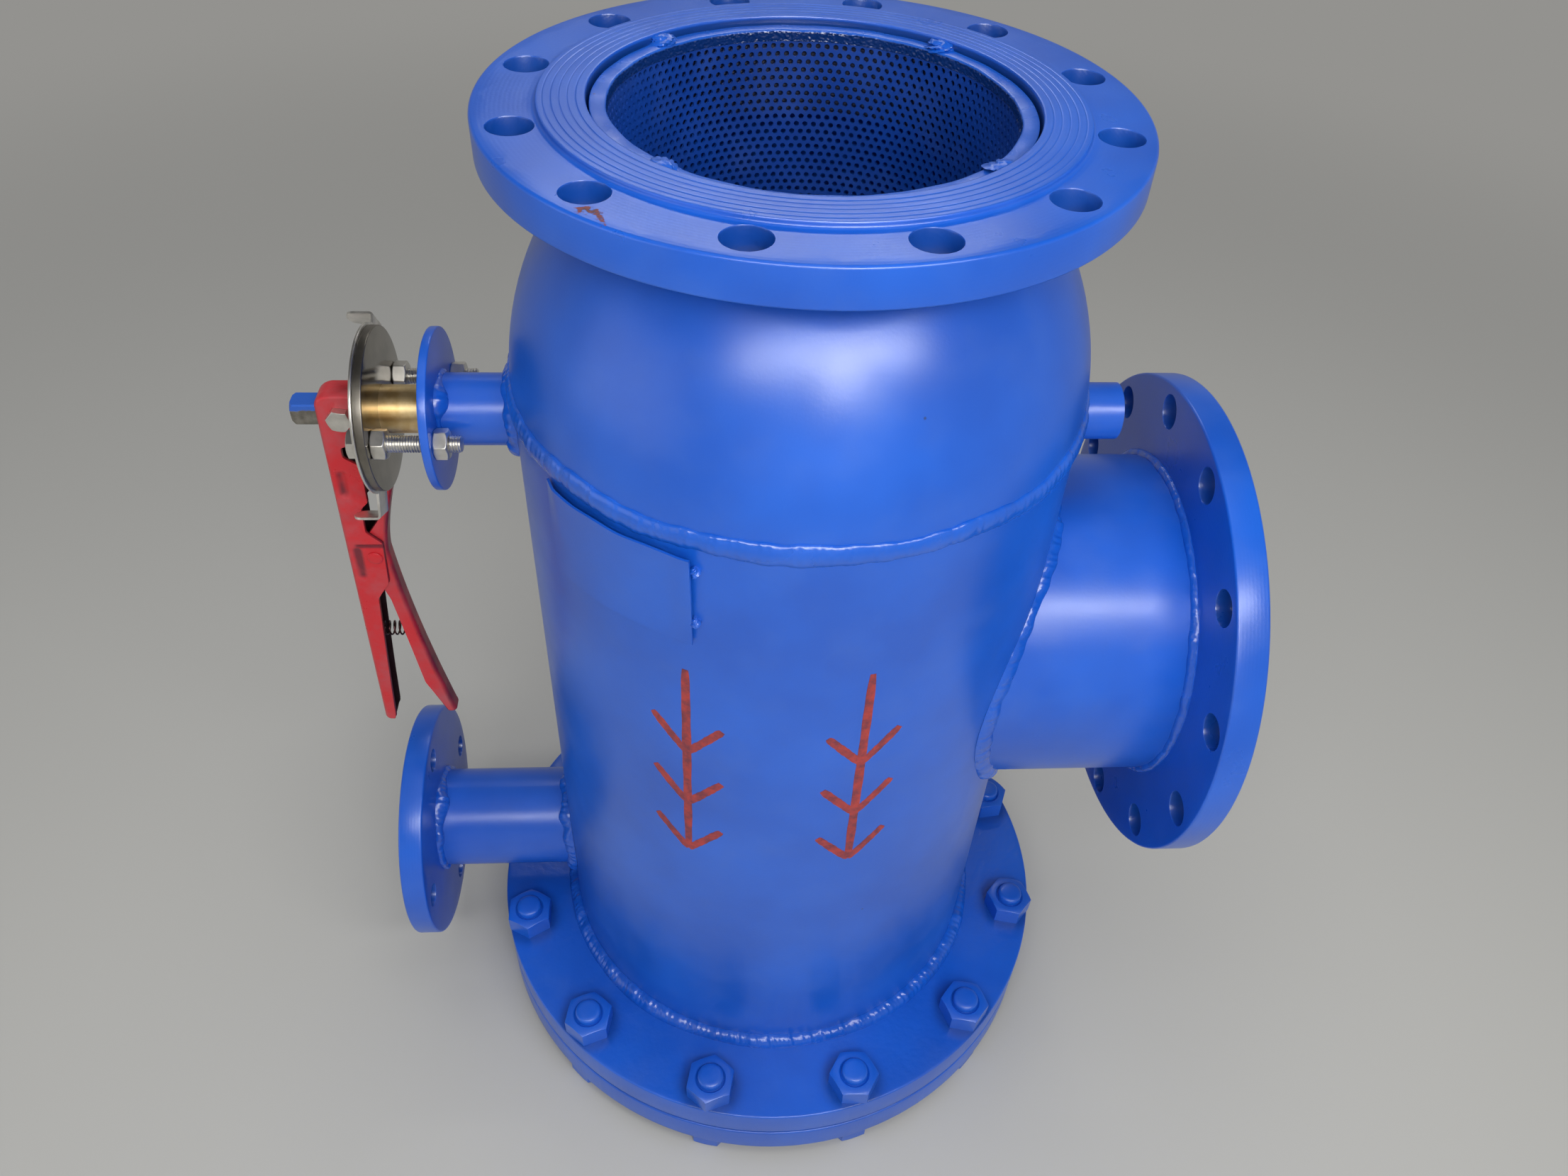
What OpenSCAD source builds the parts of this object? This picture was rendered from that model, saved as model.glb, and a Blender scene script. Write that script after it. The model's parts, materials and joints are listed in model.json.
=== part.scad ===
// Self cleaning backwash filter: inlet on top, outlet to the right, drain low on the left.
// Origin at the centre of the inlet flange's bolting face, +Z up, +X out of the outlet, millimetres.

/* [Main pipe and its flanges] */
// Outside diameter of the inlet and outlet pipes
pipe_d = 219.1; // [210:0.1:222]
// Wall of the inlet and outlet pipes
pipe_wall = 6; // [4:0.5:6]
// Outside diameter of the inlet and outlet flanges
flange_d = 330; // [325:1:345]
// Thickness of the inlet and outlet flanges
flange_t = 20; // [16:1:24]
// Bolt circle of the inlet and outlet flanges
flange_pcd = 295; // [292:1:300]
// Number of bolt holes in the inlet and outlet flanges
flange_holes = 12; // [8:4:16]
// Diameter of those bolt holes
flange_hole_d = 23; // [18:1:24]
// Diameter of the raised joint face
raised_d = 268; // [250:1:269]
// Height of the raised joint face
raised_h = 3; // [2:0.5:4]
// Radial gap between a slip-on flange and its pipe
slip_gap = 0.9; // [0.4:0.1:1.5]
// How far a pipe end stops short of the bolting face
pipe_setback = 7; // [6:0.5:9]

/* [Vessel] */
// Outside diameter of the shell
shell_d = 325; // [315:1:330]
// Wall of the shell and the domed head
shell_wall = 8; // [6:0.5:9]
// Bare length of the inlet neck between its flange and the head
neck_bare = 12; // [11:0.5:16]
// Depth of the outlet centre line below the head to shell weld
outlet_below = 200; // [195:1:206]
// Distance of the outlet bolting face from the shell
outlet_stand = 103.5; // [92:0.5:128]
// Depth of the base flange's top face below the drain centre line
base_below = 70; // [65:1:90]
// Width of the base flange and its cover outside the shell
base_land = 60; // [54:0.5:70]
// Thickness of the base flange
base_t = 25; // [20:1:32]
// Thickness of the bolted cover
cover_t = 25; // [20:1:32]
// Thickness of the cover gasket
gasket_t = 3; // [2:0.5:5]
// Distance of the cover bolts' circle from the rim
base_bolt_inset = 17.5; // [17:0.5:22]
// Number of cover bolts
base_bolt_count = 12; // [8:1:16]
// Thread of the cover bolts
base_bolt_d = 20; // [16:1:20]

/* [Drain] */
// Depth of the drain centre line below the outlet's
drain_below = 228; // [220:1:240]
// Distance of the drain bolting face from the shell
drain_stand = 117.5; // [102:0.5:138]
// Outside diameter of the drain pipe
drain_d = 76; // [60:0.5:80]
// Wall of the drain pipe
drain_wall = 4; // [3:0.5:6]
// Outside diameter of the drain flange
drain_flange_d = 180; // [175:1:190]
// Thickness of the drain flange
drain_flange_t = 17; // [14:1:20]
// Bolt circle of the drain flange
drain_pcd = 145; // [143:1:147]
// Number of drain bolt holes
drain_holes = 4; // [4:4:8]
// Diameter of the drain bolt holes
drain_hole_d = 18; // [14:1:18]
// Diameter of the drain's raised face
drain_raised_d = 122; // [110:1:123]
// Height of the drain's raised face
drain_raised_h = 2; // [1:0.5:3]

/* [Screen] */
// Radial room between the screen and the inside of the inlet pipe
screen_slack = 1.05; // [0.5:0.05:6]
// Thickness of the screen sheet
screen_t = 1.5; // [1:0.1:1.6]
// Height of the screen's seat plate above the drain centre line
seat_above = 75; // [65:1:95]
// Thickness of the seat plate
seat_t = 8; // [5:1:12]
// Height of the collar that guides the screen's foot
seat_collar_h = 14; // [8:1:20]
// Wall of that collar
seat_collar_wall = 4; // [3:0.5:6]

/* [Diverter valve] */
// Depth of the shaft axis below the head to shell weld
shaft_below = 30; // [28:1:34]
// Diameter of the shaft
shaft_d = 20; // [18:1:22]
// Distance of the valve flange's outer face from the shell
valve_stand = 47.5; // [43.5:0.5:60]
// Outside diameter of the valve neck
valve_neck_d = 42; // [40:1:46]
// Outside diameter of the valve flange
valve_flange_d = 94; // [92:1:110]
// Thickness of the valve flange
valve_flange_t = 5; // [4:0.5:7]
// Outside diameter of the brass gland
gland_d = 28; // [27:0.5:31]
// Open gap between the valve flange and the clamp disc
gland_gap = 29; // [24:1:36]
// Outside diameter of the steel clamp disc
clamp_disc_d = 95; // [92:1:96]
// Thickness of the steel clamp disc
clamp_disc_t = 5; // [4:0.5:8]
// Outside diameter of the plated stop plate
stop_plate_d = 98; // [96:1:99]
// Thickness of the stop plate
stop_plate_t = 1.5; // [1:0.1:2.5]
// Spacing of the two gland bolts
gland_pcd = 68; // [66:1:70]
// Thread of the gland bolts
gland_bolt_d = 10; // [8:1:10]
// Thickness of the diverter plate
diverter_t = 6; // [4:0.5:8]
// Edge gap between the diverter plate and the screen
diverter_gap = 2.5; // [2:0.1:5]
// Distance of the blind boss's end from the shell
boss_stand = 30.5; // [22:0.5:42]
// Outside diameter of the blind boss
boss_d = 34; // [33:0.5:40]

/* [Hand lever] */
// Length of the lever below the shaft axis
lever_len = 266; // [260:1:285]
// Width of the pressed lever channel
lever_w = 18; // [17:0.5:20]
// Sheet thickness of the lever and trigger
lever_sheet = 2; // [1.5:0.1:2.2]
// Distance of the lever's back from the stop plate, at the shaft
lever_stand = 30.5; // [30:0.5:35]
// Outward lean of the lever, in degrees
lever_lean = 2.1; // [0:0.1:3]
// Length of the square shaft end outside the lever
square_stub = 14; // [8:1:25]
// Depth of the trigger's pivot below the shaft axis
pivot_drop = 108; // [106:1:110]
// Diameter of the trigger's pivot rivet
rivet_d = 6; // [5:0.5:7]
// Thread of the lever's cross bolt
cross_bolt_d = 8; // [6:1:8]
// Wire of the trigger spring
spring_wire = 1.2; // [0.8:0.1:1.4]
// Outside diameter of the trigger spring
spring_d = 10.4; // [9:0.2:11.5]

/* [Nameplate carrier] */
// Depth of the carrier's top edge below the head to shell weld
plate_below = 9; // [8:1:18]
// Height of the carrier
plate_h = 61; // [40:1:65]
// Angle that the carrier spans on the shell
plate_span = 34; // [20:1:36]
// Stand-off of the carrier from the shell
plate_gap = 3.5; // [2:0.5:6]
// Thickness of the carrier
plate_t = 1.5; // [1:0.1:2.5]

/* [Hidden] */
$fn = 64;

// Fits shared by the pieces
close_gap = 0.1;
run_gap = 0.05;
hole_gap = 0.5;
body_gap = 0.3;
weld_gap = 0.05;

// Colours
enamel_blue = [0.07, 0.24, 0.58];
lever_red = [0.72, 0.10, 0.12];
zinc = [0.78, 0.78, 0.76];
dark_steel = [0.33, 0.33, 0.33];
brass_yellow = [0.72, 0.54, 0.27];
fibre_grey = [0.25, 0.24, 0.23];

// Hexagon fasteners: across flats, head and nut heights as shares of the thread, as in the metric series
function hex_af(thread) = 1.6 * thread;
function hex_r(thread) = hex_af(thread) / 2 / cos(30);
function head_h(thread) = 0.64 * thread;
function nut_h(thread) = 0.82 * thread;

// Vessel
pipe_r = pipe_d / 2;
pipe_ri = pipe_r - pipe_wall;
shell_r = shell_d / 2;
shell_ri = shell_r - shell_wall;
flange_bore_r = pipe_r + slip_gap;
// Heights, in whole millimetres under the inlet's bolting face
girth_drop = round(flange_t + neck_bare + sqrt(pow(shell_r, 2) - pow(pipe_r, 2)));
outlet_drop = girth_drop + outlet_below;
drain_drop = outlet_drop + drain_below;
base_drop = drain_drop + base_below;
outlet_reach = shell_r + outlet_stand;
drain_reach = shell_r + drain_stand;
base_d = shell_d + 2 * base_land;
base_pcd = base_d - 2 * base_bolt_inset;
neck_past_head = 3;
neck_bottom = girth_drop - sqrt(pow(shell_ri, 2) - pow(pipe_r, 2)) + neck_past_head;
shell_setback = 4;
base_bore_r = shell_r + slip_gap;
base_bottom = base_drop + base_t;
cover_top = base_bottom + gasket_t;
cover_bottom = cover_top + cover_t;
base_hole_d = base_bolt_d + 4 * hole_gap;
gasket_r = base_pcd / 2 - base_hole_d / 2 - 1;
gasket_ri = shell_r + 1;
bolt_tail = 5;
edge_chamfer = 1.5;
serration_pitch = 7;
serration_depth = 0.6;
serrations = 5;

// Welds
girth_bead_w = 14;
girth_bead_h = 3;
saddle_leg = 6;
saddle_rise = 4;
fillet_leg = 6;
small_leg = 4;

// Screen
screen_r = pipe_ri - screen_slack;
screen_ri = screen_r - screen_t;
seat_drop = drain_drop - seat_above;
ring_top = 1;
ring_r = pipe_r - 0.5;
shaft_hole_r = shaft_d / 2 + 3;

// Diverter valve
shaft_drop = girth_drop + shaft_below;
shaft_r = shaft_d / 2;
gland_r = gland_d / 2;
valve_reach = shell_r + valve_stand;
boss_reach = shell_r + boss_stand;
stuffing_r = gland_r + body_gap;
valve_flange_x = valve_reach - valve_flange_t;
clamp_x = valve_reach + gland_gap;
stop_x = clamp_x + clamp_disc_t;
stop_face_x = stop_x + stop_plate_t;
bush_x = shell_ri + 2;
bush_len = 15;
packing_count = 3;
packing_t = 5;
packing_x = bush_x + bush_len + close_gap;
gland_x = packing_x + packing_count * (packing_t + close_gap);
gland_bolt_hole_r = gland_bolt_d / 2 + hole_gap;
gland_nut_x = valve_flange_x - nut_h(gland_bolt_d);
gland_bolt_end = gland_nut_x - 7;
boss_cap = 6;
boss_bore_r = boss_d / 2 - 4;
end_bush_len = 26;
end_bush_x = boss_reach - boss_cap - close_gap - end_bush_len;
shaft_end_x = boss_reach - boss_cap - 1;
diverter_r = screen_ri - diverter_gap;
diverter_bolt_d = 8;
diverter_bolt_x = round(0.56 * diverter_r);
tab_w = 18;
tab_len = 17;
tab_corner = 4;
upper_tab_rise = 6;
lower_tab_rise = 15;
upper_tab = [40, stop_plate_d / 2 + upper_tab_rise];
lower_tab = [-116, stop_plate_d / 2 + lower_tab_rise];

// Hand lever: d is the depth in from its back, s the distance down from the shaft axis
lean = tan(lever_lean);
lever_reach = stop_face_x + lever_stand;
function on_lever(d, s) = [-lever_reach + d - lean * s, -shaft_drop - s];
hub_rise = 14;
hub_round = 8;
hub_depth = 24;
lever_in = lever_w - 2 * lever_sheet;
square = lever_in - 2 * close_gap;
square_round = 0.6;
bolt_x = lever_reach - 14;
pivot = on_lever(17, pivot_drop);
pivot_hole_r = rivet_d / 2 + run_gap;
rivet_head_r = rivet_d * 0.78;
rivet_head_h = 1.6;
dimple_depth = 0.7;
ear_above = 12;
ear_below = 22;
ear_top = pivot_drop - ear_above;
ear_bottom = pivot_drop + ear_below;

// Trigger: points are measured from its pivot
trigger_w = lever_in - 2 * 0.75;
trigger_top = pivot_drop - stop_plate_d / 2 - 4;
trigger_end = lever_len - pivot_drop - 10;
trigger_tip = [20, trigger_top];
trigger_waist = [8, 2];
trigger_foot = [27.5, -trigger_end];
trigger_front_high = [1.6, -39];
trigger_front_low = [6, -78];
trigger_segments = 14;
function bezier(a, b, c, t) = (1 - t) * (1 - t) * a + 2 * t * (1 - t) * b + t * t * c;
function trigger_back(inset) = concat(
    [for (i = [0:trigger_segments]) bezier(trigger_tip, [9, 20], trigger_waist, i / trigger_segments)
        - [inset, 0]],
    [for (i = [1:trigger_segments]) bezier(trigger_waist, [11, -60], trigger_foot, i / trigger_segments)
        - [inset, 0]]
);

// Trigger spring, from the lever's back to the front edges of the trigger's walls
spring_below = 72;
spring_s = pivot_drop + spring_below;
spring_z = -shaft_drop - spring_s;
spring_turns = 6;
spring_facets = 16;
wire_sides = 8;
spring_mid_r = (spring_d - spring_wire) / 2;
spring_left = on_lever(lever_sheet, spring_s - spring_d / 2)[0] + body_gap;
front_lean = (trigger_front_low[0] - trigger_front_high[0]) / (trigger_front_high[1] - trigger_front_low[1]);
spring_seat = trigger_front_high[0] + front_lean * (trigger_front_high[1] + spring_below - spring_d / 2);
spring_right = pivot[0] + spring_seat - body_gap;

// Nameplate carrier
plate_drop = girth_drop + plate_below;
plate_r = shell_r + plate_gap;
plate_middle = -129;
tack_d = 6;
tack_inset = 8;

// Points of an arc about a centre
function arc(c, r, a0, a1, n) = [for (i = [0:n]) c + r * [cos(a0 + (a1 - a0) * i / n), sin(a0 + (a1 - a0) * i / n)]];

// Turn a shape built along +Z so that it runs along +X or -X
module along_x(side = 1) {
    rotate([0, side * 90, 0]) children();
}

module tube(r, ri, h) {
    difference() {
        cylinder(r = r, h = h);
        translate([0, 0, -1]) cylinder(r = ri, h = h + 2);
    }
}

// Slip-on flange: bolting face at zero, body below it, raised face above
module pipe_flange(d, t, pcd, count, hole_d, face_d, face_h, bore_r, first) {
    c = edge_chamfer;
    difference() {
        rotate_extrude() polygon([
            [bore_r, -t], [d / 2 - c, -t], [d / 2, -t + c], [d / 2, -c], [d / 2 - c, 0],
            [face_d / 2, 0], [face_d / 2, face_h], [bore_r, face_h]
        ]);
        for (i = [0:count - 1])
            rotate(first + i * 360 / count) translate([pcd / 2, 0, -t - 1])
                cylinder(d = hole_d, h = t + face_h + 2);
        for (i = [0:serrations - 1]) {
            r = face_d / 2 - 3 - i * (face_d / 2 - bore_r - 5) / serrations;
            translate([0, 0, face_h - serration_depth]) tube(r, r - serration_depth, face_h);
        }
    }
}

// Three-cornered fillet weld round a pipe, standing on the plane z = 0
module fillet_ring(r, leg) {
    rotate_extrude() polygon([[r + weld_gap, 0], [r + weld_gap + leg, 0], [r + weld_gap, leg]]);
}

// Weld collar where a pipe along X runs into the shell
module saddle_weld(side, drop, r) {
    leg = r > shell_r / 4 ? saddle_leg : small_leg;
    translate([0, 0, -drop]) difference() {
        intersection() {
            along_x(side) cylinder(r = r + leg, h = shell_d);
            translate([0, 0, -2 * r]) cylinder(r = shell_r + saddle_rise, h = 4 * r);
        }
        along_x(side) translate([0, 0, -1]) cylinder(r = r + weld_gap, h = shell_d + 2);
        translate([0, 0, -3 * r]) cylinder(r = shell_r + weld_gap, h = 6 * r);
    }
}

// Pipe stub along X, its inner end cut to the inside of the shell
module stub(side, drop, r, ri, reach) {
    translate([0, 0, -drop]) difference() {
        along_x(side) cylinder(r = r, h = reach);
        along_x(side) translate([0, 0, -1]) cylinder(r = ri, h = reach + 2);
        translate([0, 0, -2 * r]) cylinder(r = shell_ri, h = 4 * r);
    }
}

// Hexagon standing on z = 0 whose top corners are turned off to a 30 degree cone
module hex_block(thread, h) {
    face_r = 0.475 * hex_af(thread);
    out_r = hex_r(thread) + 1;
    intersection() {
        cylinder(r = hex_r(thread), h = h, $fn = 6);
        rotate_extrude() polygon([[0, 0], [out_r, 0], [out_r, h - (out_r - face_r) * tan(30)], [face_r, h], [0, h]]);
    }
}

module hex_bolt(thread, length) {
    rotate([180, 0, 0]) hex_block(thread, head_h(thread));
    cylinder(d = thread, h = length);
}

module hex_nut(thread) {
    difference() {
        hex_block(thread, nut_h(thread));
        translate([0, 0, -1]) cylinder(r = thread / 2 + close_gap, h = nut_h(thread) + 2);
    }
}

// Places of the cover bolts, straddling the main axes
module at_base_bolts() {
    for (i = [0:base_bolt_count - 1])
        rotate((i + 0.5) * 360 / base_bolt_count) translate([base_pcd / 2, 0, 0]) children();
}

// Places of the two gland bolts, level with the shaft, pointing inwards along +X
module at_gland_bolts(x) {
    for (side = [-1, 1])
        translate([-x, side * gland_pcd / 2, -shaft_drop]) along_x() children();
}

// Flat shape drawn in the XZ plane and given a width along Y
module side_plate(points, width) {
    rotate([90, 0, 0]) translate([0, 0, -width / 2]) linear_extrude(width) polygon(points);
}

module cross_hole(p, r) {
    translate([p[0], 0, p[1]]) rotate([90, 0, 0]) cylinder(r = r, h = 2 * lever_w, center = true);
}

module head() {
    color(enamel_blue) translate([0, 0, -girth_drop]) difference() {
        sphere(r = shell_r);
        sphere(r = shell_ri);
        translate([0, 0, -shell_d]) cylinder(r = shell_d, h = shell_d);
        cylinder(r = pipe_r + close_gap, h = shell_d);
    }
}

module shell() {
    color(enamel_blue) difference() {
        translate([0, 0, -base_bottom + shell_setback])
            tube(shell_r, shell_ri, base_bottom - shell_setback - girth_drop);
        translate([0, 0, -outlet_drop]) along_x(1) cylinder(r = pipe_r + close_gap, h = shell_d);
        translate([0, 0, -drain_drop]) along_x(-1) cylinder(r = drain_d / 2 + close_gap, h = shell_d);
        translate([0, 0, -shaft_drop]) along_x(-1) cylinder(r = valve_neck_d / 2 + close_gap, h = shell_d);
        translate([0, 0, -shaft_drop]) along_x(1) cylinder(r = boss_d / 2 + close_gap, h = shell_d);
    }
}

module inlet_neck() {
    color(enamel_blue) translate([0, 0, -neck_bottom]) tube(pipe_r, pipe_ri, neck_bottom - pipe_setback);
}

module inlet_flange() {
    color(enamel_blue)
        pipe_flange(flange_d, flange_t, flange_pcd, flange_holes, flange_hole_d, raised_d, raised_h,
                    flange_bore_r, 180 / flange_holes);
}

module outlet_pipe() {
    color(enamel_blue) stub(1, outlet_drop, pipe_r, pipe_ri, outlet_reach - pipe_setback);
}

module outlet_flange() {
    color(enamel_blue) translate([outlet_reach, 0, -outlet_drop]) along_x(1)
        pipe_flange(flange_d, flange_t, flange_pcd, flange_holes, flange_hole_d, raised_d, raised_h,
                    flange_bore_r, 180 / flange_holes);
}

module drain_pipe() {
    color(enamel_blue)
        stub(-1, drain_drop, drain_d / 2, drain_d / 2 - drain_wall, drain_reach - pipe_setback);
}

module drain_flange() {
    color(enamel_blue) translate([-drain_reach, 0, -drain_drop]) along_x(-1)
        pipe_flange(drain_flange_d, drain_flange_t, drain_pcd, drain_holes, drain_hole_d,
                    drain_raised_d, drain_raised_h, drain_d / 2 + slip_gap, 0);
}

module base_flange() {
    c = edge_chamfer;
    color(enamel_blue) translate([0, 0, -base_bottom]) difference() {
        rotate_extrude() polygon([
            [base_bore_r, 0], [base_d / 2, 0], [base_d / 2, base_t - c],
            [base_d / 2 - c, base_t], [base_bore_r, base_t]
        ]);
        at_base_bolts() translate([0, 0, -1]) cylinder(d = base_hole_d, h = base_t + 2);
    }
}

module base_gasket() {
    color(fibre_grey) translate([0, 0, -cover_top]) tube(gasket_r, gasket_ri, gasket_t);
}

module blind_cover() {
    c = edge_chamfer;
    color(enamel_blue) translate([0, 0, -cover_bottom]) difference() {
        rotate_extrude() polygon([
            [0, 0], [base_d / 2 - c, 0], [base_d / 2, c], [base_d / 2, cover_t], [0, cover_t]
        ]);
        at_base_bolts() translate([0, 0, -1]) cylinder(d = base_hole_d, h = cover_t + 2);
    }
}

module base_bolts() {
    length = cover_bottom - base_drop + nut_h(base_bolt_d) + bolt_tail;
    color(enamel_blue) translate([0, 0, -cover_bottom]) at_base_bolts() hex_bolt(base_bolt_d, length);
}

module base_nuts() {
    color(enamel_blue) translate([0, 0, -base_drop]) at_base_bolts() hex_nut(base_bolt_d);
}

// Round bead over the seam between the head and the shell
module girth_weld() {
    bead_r = (pow(girth_bead_w / 2, 2) + pow(girth_bead_h, 2)) / (2 * girth_bead_h);
    seam_r = shell_r + weld_gap;
    color(enamel_blue) difference() {
        translate([0, 0, -girth_drop]) rotate_extrude() intersection() {
            translate([seam_r + girth_bead_h - bead_r, 0]) circle(r = bead_r);
            translate([seam_r, -girth_bead_w]) square([2 * girth_bead_h, 2 * girth_bead_w]);
        }
        translate([0, 0, -shaft_drop]) {
            along_x(-1) cylinder(r = valve_neck_d / 2 + small_leg + weld_gap, h = shell_d);
            along_x(1) cylinder(r = boss_d / 2 + small_leg + weld_gap, h = shell_d);
        }
    }
}

module nozzle_welds() {
    color(enamel_blue) {
        saddle_weld(1, outlet_drop, pipe_r);
        saddle_weld(-1, drain_drop, drain_d / 2);
        saddle_weld(-1, shaft_drop, valve_neck_d / 2);
        saddle_weld(1, shaft_drop, boss_d / 2);
        translate([0, 0, -girth_drop]) difference() {
            translate([0, 0, sqrt(pow(shell_r, 2) - pow(pipe_r, 2)) - saddle_leg])
                tube(pipe_r + saddle_leg, pipe_r + weld_gap, saddle_leg + saddle_rise);
            sphere(r = shell_r + weld_gap);
        }
    }
}

module flange_welds() {
    color(enamel_blue) {
        translate([0, 0, -flange_t]) mirror([0, 0, 1]) fillet_ring(pipe_r, fillet_leg);
        translate([outlet_reach - flange_t, 0, -outlet_drop]) along_x(-1) fillet_ring(pipe_r, fillet_leg);
        translate([drain_flange_t - drain_reach, 0, -drain_drop]) along_x(1) fillet_ring(drain_d / 2, fillet_leg);
        translate([-valve_flange_x, 0, -shaft_drop]) along_x(1) fillet_ring(valve_neck_d / 2, small_leg);
        translate([0, 0, -base_drop]) fillet_ring(shell_r, fillet_leg);
    }
}

// Bare rolled plate held off the shell by four weld tacks
module nameplate_carrier() {
    first = plate_middle - plate_span / 2;
    tack_turn = asin(tack_inset / plate_r);
    color(enamel_blue) {
        translate([0, 0, -plate_drop - plate_h]) rotate(first) rotate_extrude(angle = plate_span)
            translate([plate_r, 0]) square([plate_t, plate_h]);
        for (turn = [first + tack_turn, first + plate_span - tack_turn])
            for (drop = [plate_drop + tack_inset, plate_drop + plate_h - tack_inset])
                translate([0, 0, -drop]) rotate(turn) translate([shell_r + weld_gap, 0, 0])
                    along_x(1) cylinder(d = tack_d, h = plate_gap + plate_t / 2);
    }
}

// Flat ring that hangs the screen on the end of the inlet neck
module screen_ring() {
    color(enamel_blue) translate([0, 0, -pipe_setback]) tube(ring_r, screen_ri, pipe_setback - ring_top);
}

module screen() {
    color(enamel_blue) difference() {
        translate([0, 0, -seat_drop]) tube(screen_r, screen_ri, seat_drop - pipe_setback);
        translate([0, 0, -shaft_drop]) along_x(1) cylinder(r = shaft_hole_r, h = shell_d, center = true);
    }
}

// Plate and collar that part the clean side from the drain chamber
module screen_seat() {
    color(enamel_blue) translate([0, 0, -seat_drop]) difference() {
        union() {
            cylinder(r = shell_ri - close_gap, h = seat_t);
            cylinder(r = screen_r + close_gap + seat_collar_wall, h = seat_t + seat_collar_h);
        }
        translate([0, 0, -1]) cylinder(r = screen_r + close_gap, h = seat_t + seat_collar_h + 2);
    }
}

module valve_neck() {
    color(enamel_blue) stub(-1, shaft_drop, valve_neck_d / 2, stuffing_r, valve_flange_x);
}

module valve_flange() {
    color(enamel_blue) difference() {
        translate([-valve_reach, 0, -shaft_drop]) along_x(1) tube(valve_flange_d / 2, stuffing_r, valve_flange_t);
        at_gland_bolts(valve_reach + 1) cylinder(r = gland_bolt_hole_r, h = valve_flange_t + 2);
    }
}

module throat_bush() {
    color(brass_yellow) translate([-bush_x - bush_len, 0, -shaft_drop]) along_x(1)
        tube(stuffing_r - close_gap, shaft_r + run_gap, bush_len);
}

module packing_rings() {
    color(fibre_grey)
        for (i = [0:packing_count - 1])
            translate([-packing_x - packing_t - i * (packing_t + close_gap), 0, -shaft_drop]) along_x(1)
                tube(stuffing_r - close_gap, shaft_r + run_gap, packing_t);
}

module gland_bush() {
    color(brass_yellow) translate([-clamp_x, 0, -shaft_drop]) along_x(1)
        tube(gland_r, shaft_r + run_gap, clamp_x - gland_x);
}

module clamp_disc() {
    color(dark_steel) difference() {
        translate([-stop_x, 0, -shaft_drop]) along_x(1) tube(clamp_disc_d / 2, shaft_r + body_gap, clamp_disc_t);
        at_gland_bolts(stop_x + 1) cylinder(r = gland_bolt_hole_r, h = clamp_disc_t + 2);
    }
}

// Tab with rounded corners, from the bend outwards
module tab_outline() {
    translate([0, -tab_w / 2]) square([tab_len - tab_corner, tab_w]);
    translate([0, tab_corner - tab_w / 2]) square([tab_len, tab_w - 2 * tab_corner]);
    for (side = [-1, 1])
        translate([tab_len - tab_corner, side * (tab_w / 2 - tab_corner)]) circle(r = tab_corner);
}

// Round plate with two tongues that are bent outwards as stops
module stop_plate() {
    color(zinc) difference() {
        translate([-stop_face_x, 0, -shaft_drop]) {
            along_x(1) cylinder(d = stop_plate_d, h = stop_plate_t);
            for (tab = [upper_tab, lower_tab]) rotate([tab[0], 0, 0]) {
                translate([0, 0, -tab_w / 2]) cube([stop_plate_t, tab[1], tab_w]);
                translate([stop_plate_t, tab[1], 0]) rotate([90, 0, 180])
                    linear_extrude(stop_plate_t) tab_outline();
            }
        }
        translate([-stop_face_x - 1, 0, -shaft_drop]) along_x(1)
            cylinder(r = shaft_r + body_gap, h = stop_plate_t + 2);
        at_gland_bolts(stop_face_x + 1) cylinder(r = gland_bolt_hole_r, h = stop_plate_t + 2);
    }
}

module gland_bolts() {
    color(zinc) at_gland_bolts(stop_face_x) hex_bolt(gland_bolt_d, stop_face_x - gland_bolt_end);
}

module gland_nuts() {
    color(zinc) {
        at_gland_bolts(clamp_x) hex_nut(gland_bolt_d);
        at_gland_bolts(valve_flange_x) hex_nut(gland_bolt_d);
    }
}

// Closed stub for the far end of the shaft
module blind_boss() {
    color(enamel_blue) translate([0, 0, -shaft_drop]) difference() {
        along_x(1) cylinder(d = boss_d, h = boss_reach);
        along_x(1) translate([0, 0, -1]) cylinder(r = boss_bore_r, h = boss_reach - boss_cap + 1);
        translate([0, 0, -boss_d]) cylinder(r = shell_ri, h = 2 * boss_d);
    }
}

module end_bush() {
    color(brass_yellow) translate([end_bush_x, 0, -shaft_drop]) along_x(1)
        tube(boss_bore_r - close_gap, shaft_r + run_gap, end_bush_len);
}

// Round bar with a flat for the diverter plate and a squared outer end
module shaft() {
    stub_x = lever_reach + square_stub;
    tip_chamfer = 1.5;
    flat_half = diverter_r + close_gap;
    color(dark_steel) difference() {
        translate([0, 0, -shaft_drop]) union() {
            translate([-stop_face_x - 1, 0, 0]) along_x(1) cylinder(r = shaft_r, h = stop_face_x + 1 + shaft_end_x);
            intersection() {
                translate([-stub_x, -square / 2, -square / 2]) cube([stub_x - stop_face_x, square, square]);
                translate([-stub_x, 0, 0]) along_x(1) rotate_extrude() polygon([
                    [0, 0], [square / sqrt(2) - square_round - tip_chamfer, 0],
                    [square / sqrt(2) - square_round, tip_chamfer],
                    [square / sqrt(2) - square_round, stub_x], [0, stub_x]
                ]);
            }
        }
        translate([-flat_half, 0, -shaft_drop - shaft_d]) cube([2 * flat_half, shaft_d, 2 * shaft_d]);
        for (side = [-1, 1]) cross_hole([side * diverter_bolt_x, -shaft_drop], diverter_bolt_d / 2 + close_gap);
        cross_hole([-bolt_x, -shaft_drop], cross_bolt_d / 2 + close_gap);
    }
}

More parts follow.
